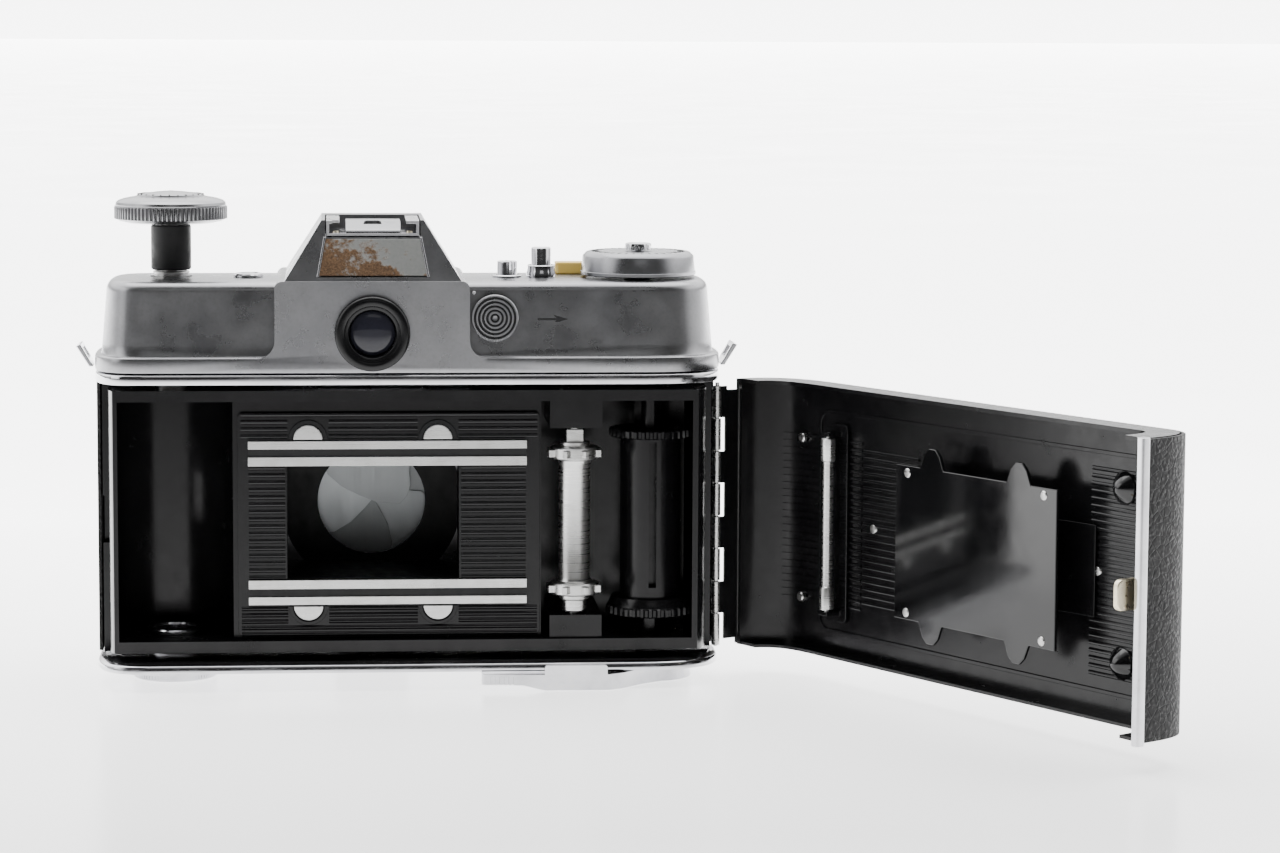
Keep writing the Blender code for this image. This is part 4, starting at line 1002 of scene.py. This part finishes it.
def door_pieces():
    skin = door_band("back_door_fine", 0.7, 1.7, 2.5, 59.8, 3.0, 5.6)
    add(skin, door_band("tool", 1.0, 6.5, 58.95, 59.8, 2.8, 5.4))
    add(skin, door_band("tool", 1.0, 6.5, 2.5, 3.15, 2.8, 5.4))
    piece(on_door(skin), "black_paint", "door", ["back_door"], bevel=0.2, segments=3, degrees=50.0)
    leather = door_band("door_leather_fine", -0.3, 0.4, 2.6, 59.7, 3.0, 5.6)
    piece(on_door(leather), "leatherette", "door", ["door_leather"], bevel=0.15, segments=2, degrees=50.0)
    strip = prism("door_edge_strip_fine", rounded_rectangle(-58.9, -57.0, 5.9, 7.9, 0.45, 5), 2.2, 60.1)
    piece(on_door(strip), "bright_chrome", "door", ["door_edge_strip"], bevel=0.15)
    lug = prism("door_latch_lug_fine", rounded_rectangle(4.2, 10.6, 27.5, 33.5, 1.4), -55.8, -54.4, "X")
    piece(on_door(lug), "brass_lug", "door", ["door_latch_lug"], bevel=0.3)

    patches = [curved_ribs("door_ribs_rounded_end", -50.0, 13.0, 48.0),
               flat_ribs("door_ribs_hinge_side", 42.5, 53.0, 13.0, 48.0),
               flat_ribs("door_ribs_latch_side", -42.0, -28.6, 10.5, 50.5),
               flat_ribs("door_ribs_middle", 24.0, 42.0, 14.5, 46.5)]
    for patch in patches:
        piece(on_door(patch), "black_paint", "door", soft=60.0)
    rim = rounded_rectangle(-44.0, 57.0, 6.8, 54.2, 3.0)
    inner = rounded_rectangle(-43.2, 56.2, 7.6, 53.4, 2.4)

    def frame_build(bm):
        rows = []
        for plan, y in ((rim, PANEL_Y - 0.05), (rim, PANEL_Y + 0.35), (inner, PANEL_Y + 0.35),
                        (inner, PANEL_Y - 0.05)):
            rows.append([bm.verts.new((x, y, z)) for x, z in plan])
        for a, b in zip(rows, rows[1:] + rows[:1]):
            for i in range(len(a)):
                j = (i + 1) % len(a)
                bm.faces.new((a[i], a[j], b[j], b[i]))
    piece(on_door(raw("door_panel_bead", frame_build)), "black_paint", "door", bevel=0.12, segments=2)
    for label, z in (("upper", LENS_Z + 17.0), ("lower", LENS_Z - 17.0)):
        cone = [(0.0, 0.0), (3.3, 0.0), (3.3, 0.3), (3.0, 0.7), (1.7, 1.9), (0.7, 2.6), (0.0, 2.75)]
        cone = [(radius, PANEL_Y + out) for radius, out in cone]
        stud = on_door(turned("cassette_stud_" + label, cone, (-38.0, z), "Y", 64))
        piece(stud, "black_paint", "door", soft=40.0)
        stud.data.materials[0] = black_paint(3.0)
    spots = [(61.5, 47.6), (61.5, 13.4), (38.5, LENS_Z), (-30.6, LENS_Z)]
    for i, (x, z) in enumerate(spots):
        y = PANEL_Y if x < 55.0 else PANEL_Y + 1.3
        rivet = turned("door_rivet_%d" % (i + 1), [(0.0, y - 0.6), (1.05, y - 0.6), (1.05, y + 0.15),
                                                   (0.85, y + 0.4), (0.0, y + 0.5)], (x, z), "Y", 32)
        piece(on_door(rivet), "machined_metal", "door")


def pressure_pieces():
    corners = [(-24.6, -15.8), (-16.9, -15.8), (-15.6, -18.6), (-14.2, -19.9), (-12.2, -19.9), (-10.8, -18.6),
               (-9.6, -15.8)]
    half = corners + [(-x, z) for x, z in reversed(corners)]
    plan = half + [(-x, -z) for x, z in half]
    plan = [(PRESSURE_X + x, LENS_Z + z) for x, z in plan]
    plate = prism("pressure_plate_fine", plan, -1.15, -0.35, "Y")
    piece(on_door(plate), "black_paint", "film_pressure", ["pressure_plate"], bevel=0.22, segments=3)
    plate.data.materials[0] = black_paint(3.0)
    for i, (x, z) in enumerate(((-20.8, 14.3), (20.8, 14.3), (-20.8, -14.3), (20.8, -14.3))):
        profile = [(0.0, -0.6), (0.95, -0.6), (0.95, -0.3), (0.75, -0.12), (0.0, -0.05)]
        rivet = turned("pressure_rivet_%d" % (i + 1), profile, (PRESSURE_X + x, LENS_Z + z), "Y", 32)
        piece(on_door(rivet), "machined_metal", "film_pressure")
    top = [(-29.0, -6.5), (-24.0, -6.45), (-20.0, -6.1), (-14.0, -4.6), (-9.0, -3.2), (-5.0, -2.75),
           (0.0, -2.7)]
    top += [(-x, y) for x, y in reversed(top[:-1])]
    bottom = [(x, y - 0.45) for x, y in reversed(top)]
    plan = [(PRESSURE_X + x, y) for x, y in top + bottom]
    leaf = prism("pressure_spring_fine", plan, LENS_Z - 9.0, LENS_Z + 9.0)
    piece(on_door(leaf), "black_paint", "door", ["pressure_spring"], bevel=0.12, segments=2)


def roller_pieces():
    x, y = ROLLER
    plate = rounded_rectangle(x - 3.4, x + 3.4, LENS_Z - 21.0, LENS_Z + 21.0, 1.2)
    bracket = prism("roller_bracket_fine", plate, -6.95, -6.4, "Y")
    for side in (-1, 1):
        low, high = sorted((LENS_Z + side * 18.6, LENS_Z + side * 19.4))
        add(bracket, block("tool", (x - 1.5, -6.6, low), (x + 1.5, -2.8, high)))
    cut(bracket, rod("tool", 0.62, LENS_Z - 22.0, LENS_Z + 22.0, ROLLER, edge=0.01))
    piece(on_door(bracket), "black_paint", "door", ["roller_bracket"], bevel=0.15, segments=2)
    half = [(0.0, 19.3), (0.4, 19.3), (0.5, 19.2), (0.5, 18.2), (1.4, 18.2), (1.55, 18.0), (1.55, 13.7),
            (1.45, 13.4), (1.2, 13.2), (1.15, 12.6)]
    profile = [(r, LENS_Z - z) for r, z in half] + [(r, LENS_Z + z) for r, z in reversed(half)]
    piece(on_door(turned("guide_roller_fine", profile, ROLLER, "Z", 64)), "machined_metal", "film_roller",
          ["guide_roller"])


def hinge_pieces():
    first = LENS_Z - 28.0
    for owner, parity in (("body", 0), ("door", 1)):
        tubes = []
        for i in range(parity, 8, 2):
            low = first + 7.0 * i + 0.15
            high = low + 6.7
            profile = [(0.52, low), (0.8, low), (0.9, low + 0.1),
                       (0.9, high - 0.1), (0.8, high), (0.52, high)]
            tubes.append(turned("knuckle", profile, HINGE, "Z", 40, ring=True))
        tube = joined("hinge_knuckles_" + owner, tubes)
        if owner == "door":
            on_door(tube)
        piece(tube, "machined_metal", BODY if owner == "body" else "door")


# ---------------------------------------------------------------- carried-over nodes
def finish_carried_nodes():
    """The nodes that keep their CAD shape get their finish and softened edges."""
    slots = {row["node"]: row["material_slot"] for row in frame["record"]["subparts"]}
    for name, thing in frame["nodes"].items():
        finish = MATERIALS[slots[name]]
        if name == "hinge_leaf_door":
            finish = MATERIALS["black_paint"]
        if thing.material_slots:
            for place in thing.material_slots:
                place.material = finish
        if not thing.hide_render:
            bevelled(thing, 0.08, 2, 40.0)


# ---------------------------------------------------------------- floor, light and camera
def stage_and_camera():
    low = CAD_BOUNDS[0][2]
    bpy.ops.mesh.primitive_plane_add(size=60.0, location=(0.0, 1.0, low - 0.0001))
    floor = bpy.context.object
    floor.name = "floor"
    bpy.ops.mesh.primitive_plane_add(size=60.0, location=(0.0, 12.0, low), rotation=(math.pi / 2.0, 0.0, 0.0))
    card = bpy.context.object
    card.name = "backdrop"
    card.scale = (1.0, 0.02, 1.0)
    # floor and backdrop share the glowing card: painted light from their own emission
    paper = glowing_floor_card()
    for thing in (floor, card):
        thing.data.materials.append(paper)

    world = bpy.context.scene.world or bpy.data.worlds.new("studio")
    bpy.context.scene.world = world
    world.use_nodes = True
    tree = world.node_tree
    backdrop = tree.nodes["Background"]
    coordinates = tree.nodes.new("ShaderNodeTexCoord")
    split = tree.nodes.new("ShaderNodeSeparateXYZ")
    tree.links.new(coordinates.outputs["Generated"], split.inputs[0])
    both = tree.nodes.new("ShaderNodeMath")
    both.operation = "MULTIPLY"

    def darken(slot, axis, start, end, darkest):
        """Fade the surroundings from darkest to full along one axis."""
        fade = tree.nodes.new("ShaderNodeMapRange")
        for name, value in (("From Min", start), ("From Max", end), ("To Min", darkest), ("To Max", 1.0)):
            fade.inputs[name].default_value = value
        tree.links.new(split.outputs[axis], fade.inputs["Value"])
        tree.links.new(fade.outputs["Result"], both.inputs[slot])

    darken(0, "Y", -0.55, 0.25, 0.02)
    darken(1, "Z", 0.03, 0.40, 0.10)
    tree.links.new(both.outputs[0], backdrop.inputs["Color"])
    backdrop.inputs["Strength"].default_value = 4.2

    def lamp(name, where, aim, size, power):
        light = bpy.data.lights.new(name, "AREA")
        light.shape = "RECTANGLE"
        light.size, light.size_y = size
        light.energy = power
        thing = bpy.data.objects.new(name, light)
        bpy.context.scene.collection.objects.link(thing)
        thing.location = where
        direction = Vector(aim) - Vector(where)
        thing.rotation_euler = direction.to_track_quat("-Z", "Y").to_euler()

    lamp("overhead", (0.05, 0.10, 0.95), (0.02, 0.0, 0.0), (1.1, 0.9), 9.0)
    lamp("left_bank", (-0.85, -0.35, 0.45), (0.0, 0.0, 0.05), (0.5, 0.7), 2.4)
    lamp("right_bank", (0.95, -0.25, 0.40), (0.05, 0.0, 0.05), (0.5, 0.7), 1.2)
    lamp("front_fill", (0.10, -1.25, 0.75), (0.0, 0.0, 0.04), (0.6, 0.35), 0.5)

    camera = bpy.data.cameras.new("camera")
    camera.lens = 105.9
    camera.sensor_width = 36.0
    camera.clip_start = 0.01
    viewer = bpy.data.objects.new("camera", camera)
    bpy.context.scene.collection.objects.link(viewer)
    viewer.location = (-0.00925, -0.78416, 0.1400)
    yaw, pitch, roll = 0.0830, -0.1131, 0.0052
    forward = Vector((math.sin(yaw) * math.cos(pitch), math.cos(yaw) * math.cos(pitch), math.sin(pitch)))
    right = Vector((math.cos(yaw), -math.sin(yaw), 0.0))
    up = right.cross(forward)
    across = right * math.cos(roll) + up * math.sin(roll)
    above = up * math.cos(roll) - right * math.sin(roll)
    viewer.matrix_world = Matrix.Translation(viewer.location) @ Matrix(
        (across, above, -forward)).transposed().to_4x4()
    bpy.context.scene.camera = viewer


casting_piece()
gate_pieces()
plate_pieces()
front_piece()
cover_piece()
cover_trim()
eyepiece_pieces()
rewind_pieces()
button_pieces()
meter_pieces()
lever_piece()
transport_pieces()
inside_pieces()
lens_pieces()
door_pieces()
pressure_pieces()
roller_pieces()
hinge_pieces()
finish_carried_nodes()
stage_and_camera()

bpy.context.view_layer.update()
